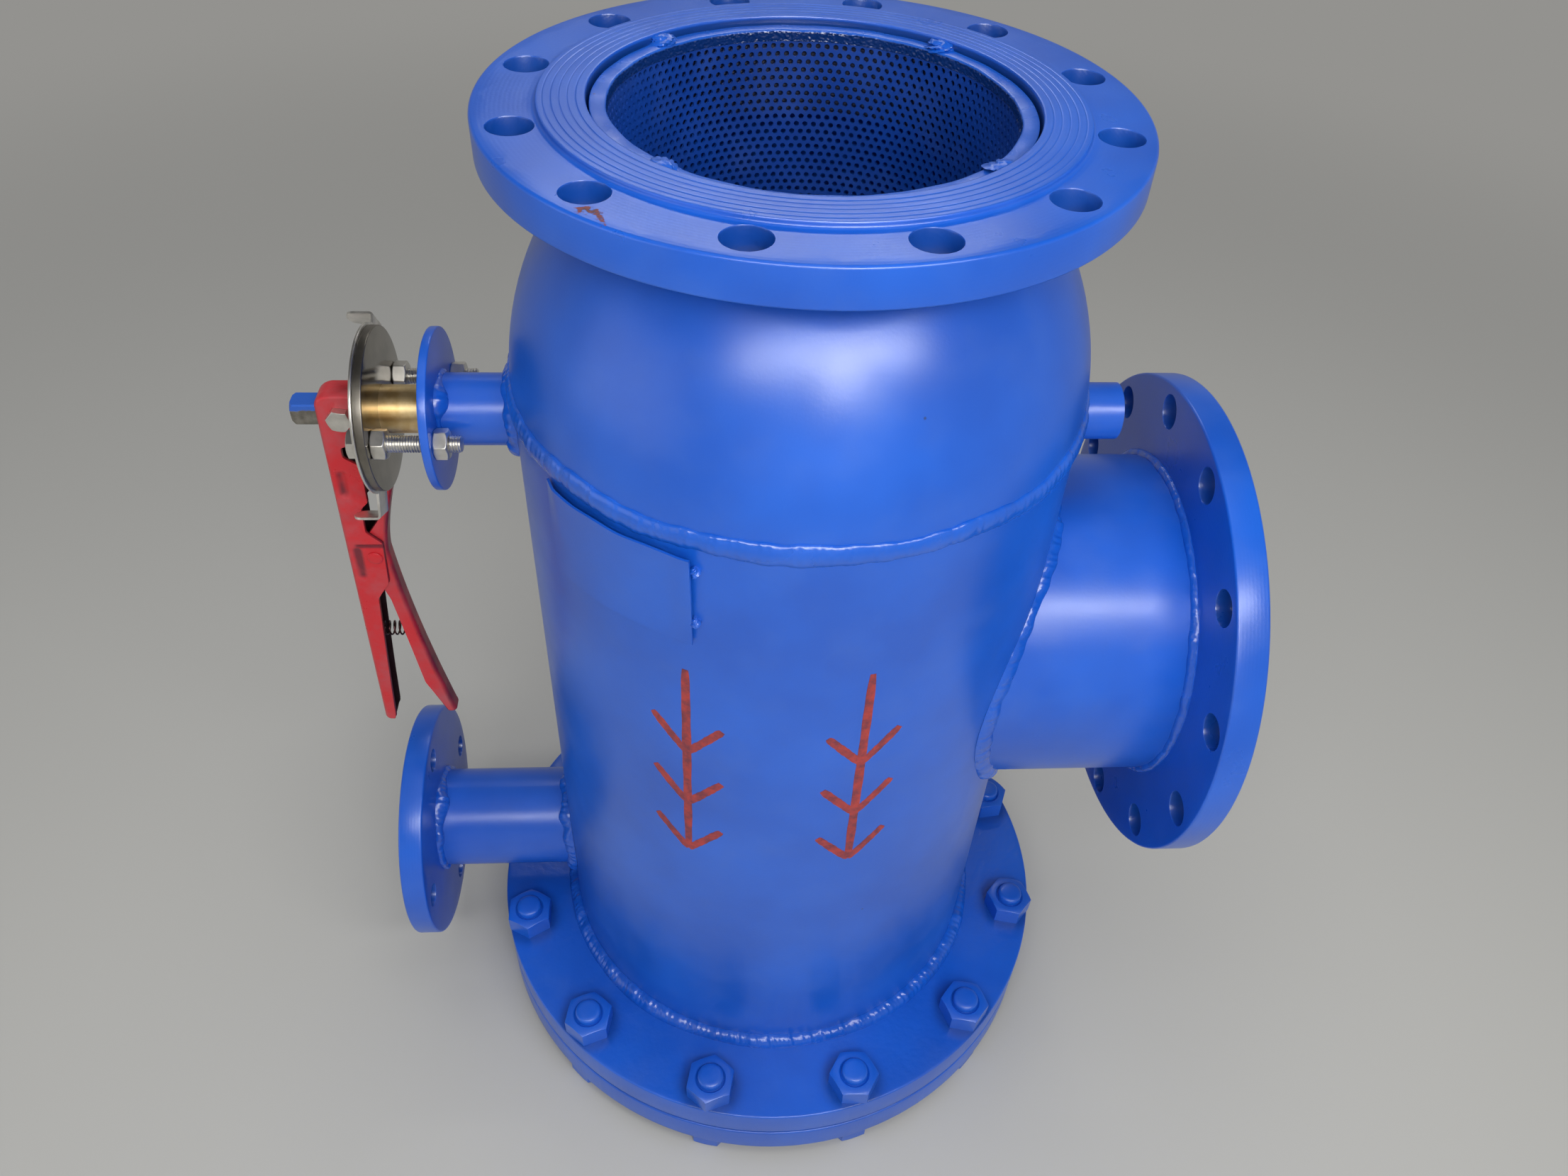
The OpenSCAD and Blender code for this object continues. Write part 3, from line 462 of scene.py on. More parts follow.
def worked_metal(name, tints, rough, mottle_mm, stroke_mm, stretch, height_mm):
    """Metal: tint and roughness from a mottle noise, bump from a noise stretched one way, dull edges."""
    finish, tree, place = new_finish(name)
    mottle = add_node(tree, "TexNoise", {"Scale": per_metre(mottle_mm), "Detail": 4.0, "Vector": place})
    tint = add_node(tree, "ValToRGB", {0: mottle}, [(0.36, tints[0]), (0.64, tints[1])])
    sheen = add_node(tree, "MapRange", {0: mottle, 1: 0.32, 2: 0.68, 3: rough[0], 4: rough[1]})
    edge = add_node(tree, "Attribute", attribute_name="edge").outputs["Fac"]
    dull = add_node(tree, "Math", {0: edge, 1: EDGE_DULL, 2: sheen}, operation="MULTIPLY_ADD")
    drawn = add_node(tree, "Mapping", {"Scale": stretch, "Rotation": (0.5, 0.0, 0.0), "Vector": place})
    brushed = add_node(tree, "TexNoise", {"Scale": per_metre(stroke_mm), "Detail": 3.0, "Vector": drawn})
    skin = add_node(tree, "Bump", {"Strength": 1.0, "Distance": height_mm * MM, "Height": brushed})
    shaded(tree, {"Base Color": tint, "Roughness": dull, "Normal": skin, "Metallic": 1.0})
    return finish


zinc_plate = worked_metal("zinc_plated_steel", ("#D2CFC7", "#E8E4DC"), (0.34, 0.42), 9, 1.4, (1, 1, 1), 0.008)
rubbed_steel = worked_metal("turned_and_polished_steel", ("#7A756C", "#8E887E"), (0.09, 0.17), 14, 0.7,
                            (0.2, 1, 0.2), 0.006)
turned_brass = worked_metal("turned_brass", ("#D9B478", "#F2D8A4"), (0.4, 0.47), 10, 0.6, (1, 0.05, 0.05),
                            0.006)
spring_wire = worked_metal("oiled_spring_wire", ("#2A1517", "#6B4242"), (0.25, 0.4), 3, 1.0, (1, 1, 1), 0.01)
dark_bar = worked_metal("rolled_steel_bar", ("#6A6660", "#8B867D"), (0.26, 0.42), 12, 0.6, (0.1, 1, 1), 0.02)
print("metals:", zinc_plate.name, rubbed_steel.name, turned_brass.name, spring_wire.name, dark_bar.name)

# %% [markdown]
# The cover gasket is pressed fibre sheet, dark and dull, seen only as a line between the base flange and
# its cover.

# %% Fibre sheet
STRAND_MM, FELT_HEIGHT_MM = 1.5, 0.1

fibre, tree, place = new_finish("pressed_fibre_sheet")
strand = add_node(tree, "TexNoise", {"Scale": per_metre(STRAND_MM), "Detail": 6.0, "Vector": place})
tone = add_node(tree, "ValToRGB", {0: strand}, [(0.3, "#1B1D22"), (0.7, "#3A3C40")])
felt = add_node(tree, "Bump", {"Strength": 1.0, "Distance": FELT_HEIGHT_MM * MM, "Height": strand})
shaded(tree, {"Base Color": tone, "Normal": felt, "Roughness": 0.85})
print(fibre.name, "of", len(tree.nodes), "nodes")

# %% [markdown]
# Pieces that are plain turned or rolled shapes stay as the CAD made them: shell, head, pipes, necks and
# inner parts. They only need their finish.

# %% Finishes of the CAD pieces
CAD_FINISH = {"blue_enamel": enamel, "red_paint": red_dip, "zinc_plate": zinc_plate, "bare_steel": dark_bar,
              "spring_steel": spring_wire, "brass": turned_brass, "fibre": fibre}
for part in frame["record"]["subparts"]:
    for slot in frame["nodes"][part["node"]].material_slots:
        slot.material = CAD_FINISH[part["material_slot"]]
# Inner pieces take the darker inside blue, which is painted shade.
for inner in ("screen_seat", "diverter_plate"):
    frame["nodes"][inner].material_slots[0].material = enamel_inside

# %% [markdown]
# The shaft's end was sprayed from above, while the lever was already on: its upper flat is blue, and the
# front and lower ones stayed bare steel. Height decides which, with a ragged border from a noise.

# %% Half sprayed shaft
BORDER_FROM, BORDER_TO = SHAFT_Z + 4.6, SHAFT_Z + 5.4
RAGGED_MM, RAGGED_RISE_MM, GRAIN_HEIGHT_MM = 4, 4, 0.1
SPRAYED_BLUE = "#2656AE"

sprayed_bar, tree, place = new_finish("steel_bar_sprayed_from_above")
up = add_node(tree, "SeparateXYZ", {0: place}).outputs[2]
ragged = add_node(tree, "TexNoise", {"Scale": per_metre(RAGGED_MM), "Detail": 4.0, "Vector": place})
lifted = add_node(tree, "Math", {0: ragged, 1: RAGGED_RISE_MM * MM, 2: up}, operation="MULTIPLY_ADD")
painted = add_node(tree, "MapRange", {0: lifted, 1: BORDER_FROM * MM, 2: BORDER_TO * MM})
steel = add_node(tree, "ValToRGB", {0: ragged}, [(0.3, "#77736C"), (0.7, "#A19C93")])
colour = add_node(tree, "Mix", {0: painted, 6: steel, 7: linear(SPRAYED_BLUE)}, data_type="RGBA")
metal = add_node(tree, "Math", {0: 1.0, 1: painted}, operation="SUBTRACT")
grain = add_node(tree, "Bump", {"Strength": 1.0, "Distance": GRAIN_HEIGHT_MM * MM, "Height": ragged})
shaded(tree, {"Base Color": colour, "Metallic": metal, "Normal": grain, "Roughness": 0.34})
frame["nodes"]["shaft"].material_slots[0].material = sprayed_bar
print("shaft painted above about", BORDER_TO - RAGGED_RISE_MM / 2, "mm")

# %% [markdown]
# Flanges, bolts and welds lie along different axes. So their shapes are worked out flat, with two distances
# across an axis and one along it, and one function puts the points in place.

# %% Along an axis and across it
def axis_frame(axis):
    """Unit vector along an axis, named x, -x, y, -y, z or -z, and two vectors across it."""
    along = np.eye(3)["xyz".index(axis[-1])] * (-1 if axis[0] == "-" else 1)
    first = np.array([0.0, 1.0, 0.0] if axis[-1] == "x" else [1.0, 0.0, 0.0])
    return along, first, np.cross(along, first)


def to_place(flat_x, flat_y, along_h, centre, axis):
    """Points from their two distances across an axis and one along it."""
    along, first, second = axis_frame(axis)
    across = flat_x[..., None] * first + flat_y[..., None] * second
    return np.asarray(centre, float) + across + along_h[..., None] * along


def across_axis(points, centre, axis):
    """Distance from an axis and height along it."""
    along, first, second = axis_frame(axis)
    away = points - np.asarray(centre, float)
    return np.hypot(away @ first, away @ second), away @ along


def span(node, axis):
    """Size of a CAD piece's box along an axis."""
    return (high(node) - low(node))["xyz".index(axis[-1])]


print("the inlet flange is", span("inlet_flange", "z").round(1), "mm thick")

# %% [markdown]
# A turned piece is a profile of radius and height, swept round an axis. Corners of a real turned piece are
# never quite sharp, and a sharp one shows no line of light, so profiles get small arcs at their corners.

# %% Turned shapes
def rounded(corners, radii, steps=4):
    """Profile whose corners are cut by arcs: each arc is a quadratic curve from one side to the other."""
    corners = np.asarray(corners, float)
    before = np.roll(corners, 1, axis=0) - corners
    after = np.roll(corners, -1, axis=0) - corners
    reach = np.asarray(radii, float)[:, None]
    start = corners + before / np.linalg.norm(before, axis=1, keepdims=True) * reach
    stop = corners + after / np.linalg.norm(after, axis=1, keepdims=True) * reach
    t = np.linspace(0, 1, steps + 1)[None, :, None]
    arcs = (1 - t) ** 2 * start[:, None] + 2 * t * (1 - t) * corners[:, None] + t ** 2 * stop[:, None]
    return arcs.reshape(-1, 2)


def turned(profile, angles, centre, axis, wrap=True):
    """Surface of revolution: each profile point (radius, height) goes round the axis by all angles."""
    radius, height = profile[:, 0, None], profile[:, 1, None]
    points = to_place(radius * np.cos(angles), radius * np.sin(angles), height + 0 * angles, centre, axis)
    return points.reshape(-1, 3), grid_quads(len(profile), len(angles), wrap_rows=wrap)


print("a square with four arcs has", len(rounded([[0, 0], [9, 0], [9, 9], [0, 9]], [1, 1, 1, 1])), "points")

# %% [markdown]
# A flange is a turned ring with a circle of bolt holes. The holes are the hard part, and cutting them with
# a boolean leaves long thin triangles that shine badly. So each face with holes is built hole by hole: one
# sector of the ring belongs to one hole, and rows of points run from the hole's rim out to the sector's
# edge. Where holes are far apart, plain strips lie between the sectors. Neighbours share their edge points,
# and the turned parts use the same angles, so the flange closes without gaps.

# %% Sectors of a ring
ARC_STEPS = 16
SECTOR_SHARE = 0.9


def sector_arcs(count, circle_r, inner_r):
    """Angles of a hole's sector, no wider than it sees along straight lines, and of the arc to the next."""
    half = np.pi / count
    seen = min(half, SECTOR_SHARE * np.arccos(inner_r / circle_r))
    between = np.linspace(seen, 2 * half - seen, ARC_STEPS // 2 + 1) if seen < half else np.array([half])
    return np.linspace(-seen, seen, ARC_STEPS + 1), between


def spun(x, y, count, first):
    """Copies of flat points, one for each hole, turned round the axis."""
    turn = (first + 2 * np.pi / count * np.arange(count)).reshape((-1,) + (1,) * x.ndim)
    return x * np.cos(turn) - y * np.sin(turn), x * np.sin(turn) + y * np.cos(turn)


print("half a sector of twelve holes:", np.degrees(sector_arcs(12, 147.5, 134)[0][-1]).round(1), "degrees")

# %% [markdown]
# With its sector known, one hole is drawn flat and copied round the axis. The walls of the holes then join
# the rims of an upper and a lower face. They are a little narrower than the rims, so that each hole has a
# soft edge.

# %% Faces with holes
SIDE_STEPS = 8
FACE_ROWS = np.array([0, 0.12, 0.4, 1.0])
HOLE_SHRINK, HOLE_SOFT = 0.97, 0.7


def drilled_face(f, inner_r, outer_r, height, centre, axis):
    """Flat ring with holes: rows run from each rim to the edge of its sector, plain strips fill the rest."""
    arc, between = sector_arcs(f.count, f.circle_r, inner_r)
    radii = np.linspace(inner_r, outer_r, SIDE_STEPS + 1)
    side = radii[1:-1]
    edge_r = np.concatenate([np.full(len(arc), inner_r), side, np.full(len(arc), outer_r), side[::-1]])
    edge_a = np.concatenate([arc, np.full(len(side), arc[-1]), arc[::-1], np.full(len(side), arc[0])])
    edge = np.stack([edge_r * np.cos(edge_a), edge_r * np.sin(edge_a)], -1)
    hole = np.array([f.circle_r, 0.0])
    out = (edge - hole) / np.linalg.norm(edge - hole, axis=1, keepdims=True)
    rim = hole + f.hole_r * out
    flat = rim + FACE_ROWS[:, None, None] * (edge - rim)
    x, y = spun(flat[..., 0], flat[..., 1], f.count, f.first)
    sectors = to_place(x, y, np.full_like(x, height), centre, axis)
    sector_quads = grid_quads(len(FACE_ROWS), len(edge))
    x, y = spun(radii[:, None] * np.cos(between), radii[:, None] * np.sin(between), f.count, f.first)
    strips = to_place(x, y, np.full_like(x, height), centre, axis)
    strip_quads = grid_quads(len(radii), len(between), wrap_cols=False)
    return ((sectors, copies_of(sector_quads, len(FACE_ROWS) * len(edge), f.count)),
            (strips, copies_of(strip_quads, len(radii) * len(between), f.count)))


def hole_walls(top, under):
    """Walls of the holes between two drilled faces: the rim rows of both joined, with a softened edge."""
    count, cols = top.shape[0], top.shape[2]
    rims = np.stack([top[:, 0], under[:, 0]], 1)
    centres = rims.mean(2, keepdims=True)
    inner = centres + (rims - centres) * HOLE_SHRINK
    down = (rims[:, 1] - rims[:, 0]) / np.linalg.norm(rims[:, 1] - rims[:, 0], axis=-1, keepdims=True)
    walls = [rims[:, 0], inner[:, 0] + down * HOLE_SOFT, inner[:, 1] - down * HOLE_SOFT, rims[:, 1]]
    return np.stack(walls, 1), copies_of(grid_quads(len(walls), cols), len(walls) * cols, count)


print("rows of points round each hole:", len(FACE_ROWS))

# %% [markdown]
# The raised face of a flange presses on the gasket. It carries fine ring grooves: a saw of even gaps, cut
# off to narrow notches. Its profile runs on over the lip into the bore and back under the flange, to be
# swept in one go.

# %% Raised face
STEP_RUN = 0.6
FACE_POINTS = 120
GROOVE_HALF, GROOVE_DEEP = 0.42, 0.18
GROOVE_START, GROOVE_BAND = 3.3, 4


def raised_face(f, foot_r):
    """Profile from the foot of the raised face over its grooves into the bore and back under the flange."""
    bend = np.linspace(0, np.pi / 2, 5)
    run = STEP_RUN * f.face_h
    step = np.stack([foot_r - run * np.sin(bend), run * (1 - np.cos(bend))], -1)
    face = np.linspace(f.face_r - 1.0, f.bore_r + 0.8, FACE_POINTS)
    gap = (f.face_r - f.bore_r - GROOVE_BAND) / f.grooves
    from_groove = np.abs((f.face_r - GROOVE_START - face + gap / 2) % gap - gap / 2)
    dip = np.clip(1 - from_groove / GROOVE_HALF, 0, 1) * GROOVE_DEEP
    dip = dip * (face < f.face_r - 2.4) * (face > f.face_r - GROOVE_BAND - gap * (f.grooves - 1))
    lip = [[f.face_r - 0.1, 0.8 * f.face_h], [f.face_r - 0.4, f.face_h - 0.12]]
    bore = [[f.bore_r + 0.25, f.face_h - 0.2], [f.bore_r, f.face_h - 0.8], [f.bore_r, f.face_h - 2.0],
            [f.bore_r, -f.thick + 0.5], [f.bore_r + 0.4, -f.thick], [(f.bore_r + f.face_r) / 2, -f.thick]]
    return np.concatenate([step, lip, np.stack([face, f.face_h - dip], -1), bore, [[foot_r, -f.thick]]])


print("a groove is", 2 * GROOVE_HALF, "mm wide and", GROOVE_DEEP, "mm deep")

# %% [markdown]
# The whole flange is two drilled faces, the walls of the holes, a turned rim and the raised face. All of
# them use the same angles, so that their edge points fall on each other and merge.

# %% Flange
RIM_SOFT = 1.6


def bolted_flange(f, centre, axis):
    """Flange with its bolting face at height 0: drilled faces, hole walls, turned rim and raised face."""
    foot_r = f.face_r + STEP_RUN * f.face_h
    arc, between = sector_arcs(f.count, f.circle_r, foot_r)
    sector = np.concatenate([arc[:-1], between[:-1]])
    angles = (f.first + 2 * np.pi / f.count * np.arange(f.count)[:, None] + sector).ravel()
    flat_r = f.rim_r - RIM_SOFT
    top, top_strips = drilled_face(f, foot_r, flat_r, 0.0, centre, axis)
    under, under_strips = drilled_face(f, foot_r, flat_r, -f.thick, centre, axis)
    bend = np.linspace(0, np.pi / 2, 5)
    rim = np.concatenate([
        np.stack([flat_r + RIM_SOFT * np.sin(bend), RIM_SOFT * (np.cos(bend) - 1)], -1),
        np.stack([flat_r + RIM_SOFT * np.cos(bend), -f.thick - RIM_SOFT * (np.sin(bend) - 1)], -1)])
    return joined(top, top_strips, under, under_strips, hole_walls(top[0], under[0]),
                  turned(rim, angles, centre, axis, wrap=False),
                  turned(raised_face(f, foot_r), angles, centre, axis, wrap=False))


print("rims are softened by", RIM_SOFT, "mm")

# %% [markdown]
# The record's mounts give the place, the bolt circle and the holes of each flange. Every point then gets
# its marks: rings of the lathe, painted shade in bore and holes, and rust where the coat was knocked off.

# %% Flange on its mount
SLIP = 0.9
BORE_SHADE, HOLE_SHADE = 0.6, 0.35
mounts = {mount["name"]: mount for mount in frame["record"]["mounts"]}


def add_flange(name, mount, axis, rim_r, pipe_r, face_r, face_h, grooves, first, rust=()):
    """Flange on a mount's face and holes, with marks for turning rings, painted shade in bore and holes, and
    rust.
    """
    centre, bolts = np.array(mounts[mount]["pos_m"]) / MM, mounts[mount]["dims"]
    f = SimpleNamespace(rim_r=rim_r, bore_r=pipe_r + SLIP, thick=span(name, axis) - face_h, face_r=face_r,
                        face_h=face_h, circle_r=bolts["pcd_mm"] / 2, hole_r=bolts["hole_r_mm"],
                        count=bolts["count"], first=first, grooves=grooves)
    points, quads = bolted_flange(f, centre, axis)
    away, height = across_axis(points, centre, axis)
    turn = first + 2 * np.pi / f.count * np.arange(f.count)
    hole_at = to_place(f.circle_r * np.cos(turn), f.circle_r * np.sin(turn), 0 * turn, centre, axis)
    from_hole = np.min([across_axis(points, spot, axis)[0] for spot in hole_at], axis=0)
    # Bore and hole walls are darkened: painted shade.
    in_bore = (away < f.bore_r + 0.1) * (height < face_h - 1.5)
    thin = np.maximum(BORE_SHADE * in_bore, HOLE_SHADE * (from_hole < 0.985 * f.hole_r))
    bare = np.zeros(len(points))
    for spot, size in rust:
        bare = np.maximum(bare, np.exp(-np.sum(((points - spot) / size) ** 2, 1)))
    add_piece("turned_" + name, (points, quads), enamel_turned, stands_for=(name,),
              marks={"turned": away + height, "thin": thin, "rust": bare})


print("mounts:", *mounts)

# %% [markdown]
# Inlet and outlet carry the same flange, the drain a smaller one. Bolt circles and holes are the standard
# ones that the record's mounts give, and the rims come from the CAD boxes. The inlet's coat is knocked off
# in front of one hole and at the right of its rim.

# %% Inlet, outlet and drain flanges
RAISED_R, RAISED_H, GROOVES = 134.0, 3.0, 5
DRAIN_RAISED_R, DRAIN_RAISED_H, DRAIN_GROOVES = 61.0, 2.0, 2
HALF_PITCH = np.pi / mounts["inlet_bolts"]["dims"]["count"]
INLET_RUST = [((-101.0, -121.0, 0.0), (11.0, 6.0, 4.0)), ((-93.0, -132.0, -1.0), (7.0, 4.0, 3.0)),
              ((119.0, -114.0, -9.0), (5.0, 5.0, 6.0)), ((-79.5, -144.5, -2.0), (2.0, 2.0, 2.0))]
add_flange("inlet_flange", "inlet_bolts", "z", high("inlet_flange")[0], PIPE_R, RAISED_R, RAISED_H, GROOVES,
           HALF_PITCH, INLET_RUST)
add_flange("outlet_flange", "outlet_bolts", "x", high("outlet_flange")[1], PIPE_R, RAISED_R, RAISED_H,
           GROOVES, HALF_PITCH)
add_flange("drain_flange", "drain_bolts", "-x", high("drain_flange")[1], DRAIN_R, DRAIN_RAISED_R,
           DRAIN_RAISED_H, DRAIN_GROOVES, 0.0)

# %% [markdown]
# The base flange, its cover and the discs of the valve are plain rings: every bolt hole is hidden under a
# nut or a head, so a rounded profile swept round the axis is enough. The base flange gets extra rows on its
# top, because painted shade darkens a ring round the foot of each nut, and marks need points to sit on.

# %% Plain discs
FULL_TURN = turn_angles(360)


def disc(name, axis, centre, rim_r, bore_r, soft, finish, rows=2, marks=None):
    """Ring of rectangular section with softened corners, from height 0 down to its box's thickness."""
    thick = span(name, axis)
    in_soft = 0 if bore_r == 0 else min(soft, 0.5)
    corners = rounded([[bore_r, 0], [rim_r, 0], [rim_r, -thick], [bore_r, -thick]],
                      [in_soft, soft, soft, in_soft])
    top = np.stack([np.linspace(bore_r + in_soft, rim_r - soft, rows + 2)[1:-1], np.zeros(rows)], -1)
    profile = np.concatenate([corners[:5], top, corners[5:]])
    points, quads = turned(profile, FULL_TURN, centre, axis)
    away, height = across_axis(points, centre, axis)
    drawn = {"turned": away + height}
    drawn.update(marks(points, away, height) if marks else {})
    add_piece("turned_" + name, (points, quads), finish, stands_for=(name,), marks=drawn)


COVER_BOLTS = 12
BOLT_CIRCLE_R = 205.0
BASE_R = high("base_flange")[0]
BASE_TOP = high("base_flange")[2]
BASE_SOFT = 1.6
NUT_SHADE_R, NUT_SHADE_WIDTH, NUT_SHADE = 18, 5.5, 0.42
RUSTY_DRIPS, DRIP_MM = ((-52, -176), (-150, -120), (-64, -186)), 2.2
bolt_angle = np.pi / COVER_BOLTS + np.arange(COVER_BOLTS) * np.pi / (COVER_BOLTS / 2)


def base_marks(points, away, height):
    """Painted shade in a ring round the foot of each nut, and small rusty drips, on the top face alone."""
    flat = points[:, :2]
    nuts = BOLT_CIRCLE_R * np.stack([np.cos(bolt_angle), np.sin(bolt_angle)], -1)
    near = np.min([np.hypot(*(flat - nut).T) for nut in nuts], axis=0)
    nut_shade = NUT_SHADE * np.exp(-((near - NUT_SHADE_R) / NUT_SHADE_WIDTH) ** 2)
    drips = np.max([np.exp(-np.sum(((flat - spot) / DRIP_MM) ** 2, 1)) for spot in RUSTY_DRIPS], axis=0)
    return {"thin": nut_shade * (height > -0.5), "rust": drips * (height > -0.5)}


disc("base_flange", "z", (0, 0, BASE_TOP), BASE_R, SHELL_R + SLIP, BASE_SOFT, enamel_sawn, rows=24,
     marks=base_marks)
disc("blind_cover", "z", (0, 0, high("blind_cover")[2]), BASE_R, 0.0, BASE_SOFT, enamel_sawn)

# %% [markdown]
# The inlet neck is darkened inside with painted shade. The valve's flange is painted like the
# vessel, and the clamp disc in front of it is bare steel with a rubbed edge.

# %% Inlet neck and valve discs
NECK_IN = PIPE_R - 6.0
CLAMP_FACE = low("clamp_disc")[0]
CLAMP_R = high("clamp_disc")[1]
SHAFT_BORE = 10.3


def neck_marks(points, away, height):
    """Painted shade on the inner wall."""
    return {"thin": smooth_step(NECK_IN + 2, NECK_IN + 1, away)}


def clamp_marks(points, away, height):
    """The filed edge of the disc."""
    return {"edge": smooth_step(CLAMP_R - 0.6, CLAMP_R - 0.2, away)}


disc("inlet_neck", "z", (0, 0, high("inlet_neck")[2]), PIPE_R, NECK_IN, 0.3, enamel, marks=neck_marks)
disc("valve_flange", "-x", (low("valve_flange")[0], 0, SHAFT_Z), high("valve_flange")[1],
     high("gland_bush")[1] + 0.3, 0.9, enamel)
disc("clamp_disc", "-x", (CLAMP_FACE, 0, SHAFT_Z), CLAMP_R, SHAFT_BORE, 0.7, rubbed_steel,
     marks=clamp_marks)

# %% [markdown]
# A weld bead is a profile carried along a seam. Its section is a bulge between two directions that lie
# along the two plates: P = C + (cos f) A + (sin f) B. A hand-held torch leaves it uneven at several lengths
# at once: it grows and shrinks slowly, has lumps every few centimetres and grains of a few millimetres, and
# bowed ripples in places. The section is closed by its root point, so that each bead is a closed ring.

# %% Weld beads
BEAD_SIDES = 14
RIPPLE_MM = 5.0
LUMPS_MM = np.array([31.0, 21.0, 14.0])
GRAINS_MM = np.array([7.0, 5.1, 3.7])
ROOT_DEPTH = 0.12


def bead(path, side_a, side_b, sweep, seed, uneven=0.13, ripple=0.035, swell=1.0):
    """Closed bead along a closed path: bulge from A to B, uneven at three lengths, with bowed ripples."""
    steps = np.linalg.norm(np.roll(path, -1, axis=0) - path, axis=1)
    seam = steps.sum()
    run = 2 * np.pi * (np.cumsum(steps) - steps[0]) / seam
    turn = np.linspace(0, sweep, BEAD_SIDES)[None, :]
    across = np.sin(np.pi * turn / sweep)
    lump_waves, grain_waves = [np.maximum(1, np.round(seam / mm)).astype(int) for mm in (LUMPS_MM, GRAINS_MM)]
    slow = wander(run, seed)[:, None]
    lumps = wander(run, seed + 1, lump_waves)[:, None]
    grains = wander(run[:, None] + 0.004 * np.sin(5 * turn), seed + 2, grain_waves)
    phase = run[:, None] * round(seam / RIPPLE_MM) + 2.2 * across + 1.5 * slow
    rippled = smooth_step(-0.2, 0.7, wander(run, seed + 3, (1, 2, 3)))[:, None]
    scale = 1 + uneven * slow + across * (0.6 * uneven * lumps + 0.35 * uneven * grains)
    scale = scale + ripple * rippled * across * (np.abs(np.sin(phase / 2)) - 0.6)
    scale = scale * np.reshape(swell, (-1, 1))
    lean = 1 + 0.5 * uneven * wander(run, seed + 4, lump_waves)[:, None]
    skin = (path[:, None] + (scale * lean * np.cos(turn))[..., None] * side_a[:, None]
            + (scale * np.sin(turn))[..., None] * side_b[:, None])
    root = path - ROOT_DEPTH * (side_a * (sweep < 2) + side_b)
    points = np.concatenate([skin, root[:, None]], 1)
    return points.reshape(-1, 3), grid_quads(len(path), BEAD_SIDES + 1, wrap_rows=True)


print("ripples round the girth:", round(2 * np.pi * SHELL_R / RIPPLE_MM))

# %% [markdown]
# Seams come in two kinds. A pipe that meets a flange leaves a circle, and a pipe that meets the round shell
# leaves a saddle. With the points of a seam come the two directions along the plates that the bead bulges
# between.

# %% Seams and fillets
def circle_seam(radius, centre, axis, count):
    """Points of a circle, their outward directions and the axis."""
    angle = turn_angles(count)
    along, first, second = axis_frame(axis)
    outward = np.cos(angle)[:, None] * first + np.sin(angle)[:, None] * second
    return np.asarray(centre, float) + radius * outward, outward, np.broadcast_to(along, outward.shape)


def saddle_seam(pipe_r, side, z, count):
    """Where a pipe along X meets the shell: y = r cos t, z = r sin t, and x from the shell's circle."""
    angle = turn_angles(count)
    y = pipe_r * np.cos(angle)
    x = np.sqrt(SHELL_R ** 2 - y ** 2)
    path = np.stack([side * x, y, z + pipe_r * np.sin(angle)], -1)
    normal = np.stack([side * x, y, 0 * y], -1) / SHELL_R
    spread = np.stack([0 * y, np.cos(angle), np.sin(angle)], -1)
    on_shell = spread - np.sum(spread * normal, 1, keepdims=True) * normal
    on_shell = on_shell / np.linalg.norm(on_shell, axis=1, keepdims=True)
    return path, np.broadcast_to(np.array([side, 0.0, 0.0]), path.shape), on_shell


def saddle_bead(pipe_r, side, z, leg, count, seed, uneven=0.13):
    """Fillet bead round a pipe that runs into the shell."""
    path, on_pipe, on_shell = saddle_seam(pipe_r, side, z, count)
    return bead(path, on_pipe * leg, on_shell * leg, np.pi / 2, seed, uneven)


BLOB_SWELL, BLOB_DEG = 1.25, 26


def ring_bead(pipe_r, centre, axis, leg, count, seed, uneven=0.13, thin=1.0, blob_deg=None):
    """Fillet bead in the corner of pipe and flange: thin all round, with a blob where the welder stopped."""
    path, outward, along = circle_seam(pipe_r, centre, axis, count)
    angle = np.degrees(turn_angles(count))
    blob = 0 if blob_deg is None else np.exp(-((angle - blob_deg) / BLOB_DEG) ** 4)
    return bead(path, along * leg, outward * leg, np.pi / 2, seed, uneven,
                swell=thin + (BLOB_SWELL - thin) * blob)


print("a saddle seam of the outlet is", np.round(np.ptp(saddle_seam(PIPE_R, 1, 0, 90)[0][:, 0]), 1),
      "mm deep")

# %% [markdown]
# The girth bead over the seam of head and shell is the widest: it lies flat, so it sweeps half a turn
# between up and down. The saddle and flange beads are fillets in a corner, and sweep a quarter turn.

# %% Girth, nozzle and flange welds
GIRTH_W, GIRTH_H, GIRTH_STEPS = 13.5, 3.0, 1440
SADDLE_LEG, FILLET_LEG, SMALL_LEG = 6.5, 5.0, 4.5
GIRTH_Z = high("shell")[2]
OUTLET_Z = middle("outlet_pipe")[2]
DRAIN_Z = middle("drain_pipe")[2]
NECK_R = high("valve_neck")[1]
VALVE_BACK = high("valve_flange")[0]
path, outward, upright = circle_seam(SHELL_R - 0.3, (0, 0, GIRTH_Z), "z", GIRTH_STEPS)
sway = wander(turn_angles(GIRTH_STEPS), 3, (2, 5, 9, 14))[:, None]
girth = bead(path + sway * upright, upright * GIRTH_W / 2, outward * GIRTH_H, np.pi, 11, uneven=0.1,
             ripple=0.13)
add_piece("girth_bead", girth, enamel_weld, stands_for=("girth_weld",), crease=60)
seam_h = np.sqrt(SHELL_R ** 2 - PIPE_R ** 2)
neck_path, neck_out, neck_up = circle_seam(PIPE_R, (0, 0, GIRTH_Z + seam_h), "z", 720)
down_dome = (seam_h * neck_out - PIPE_R * neck_up) / SHELL_R
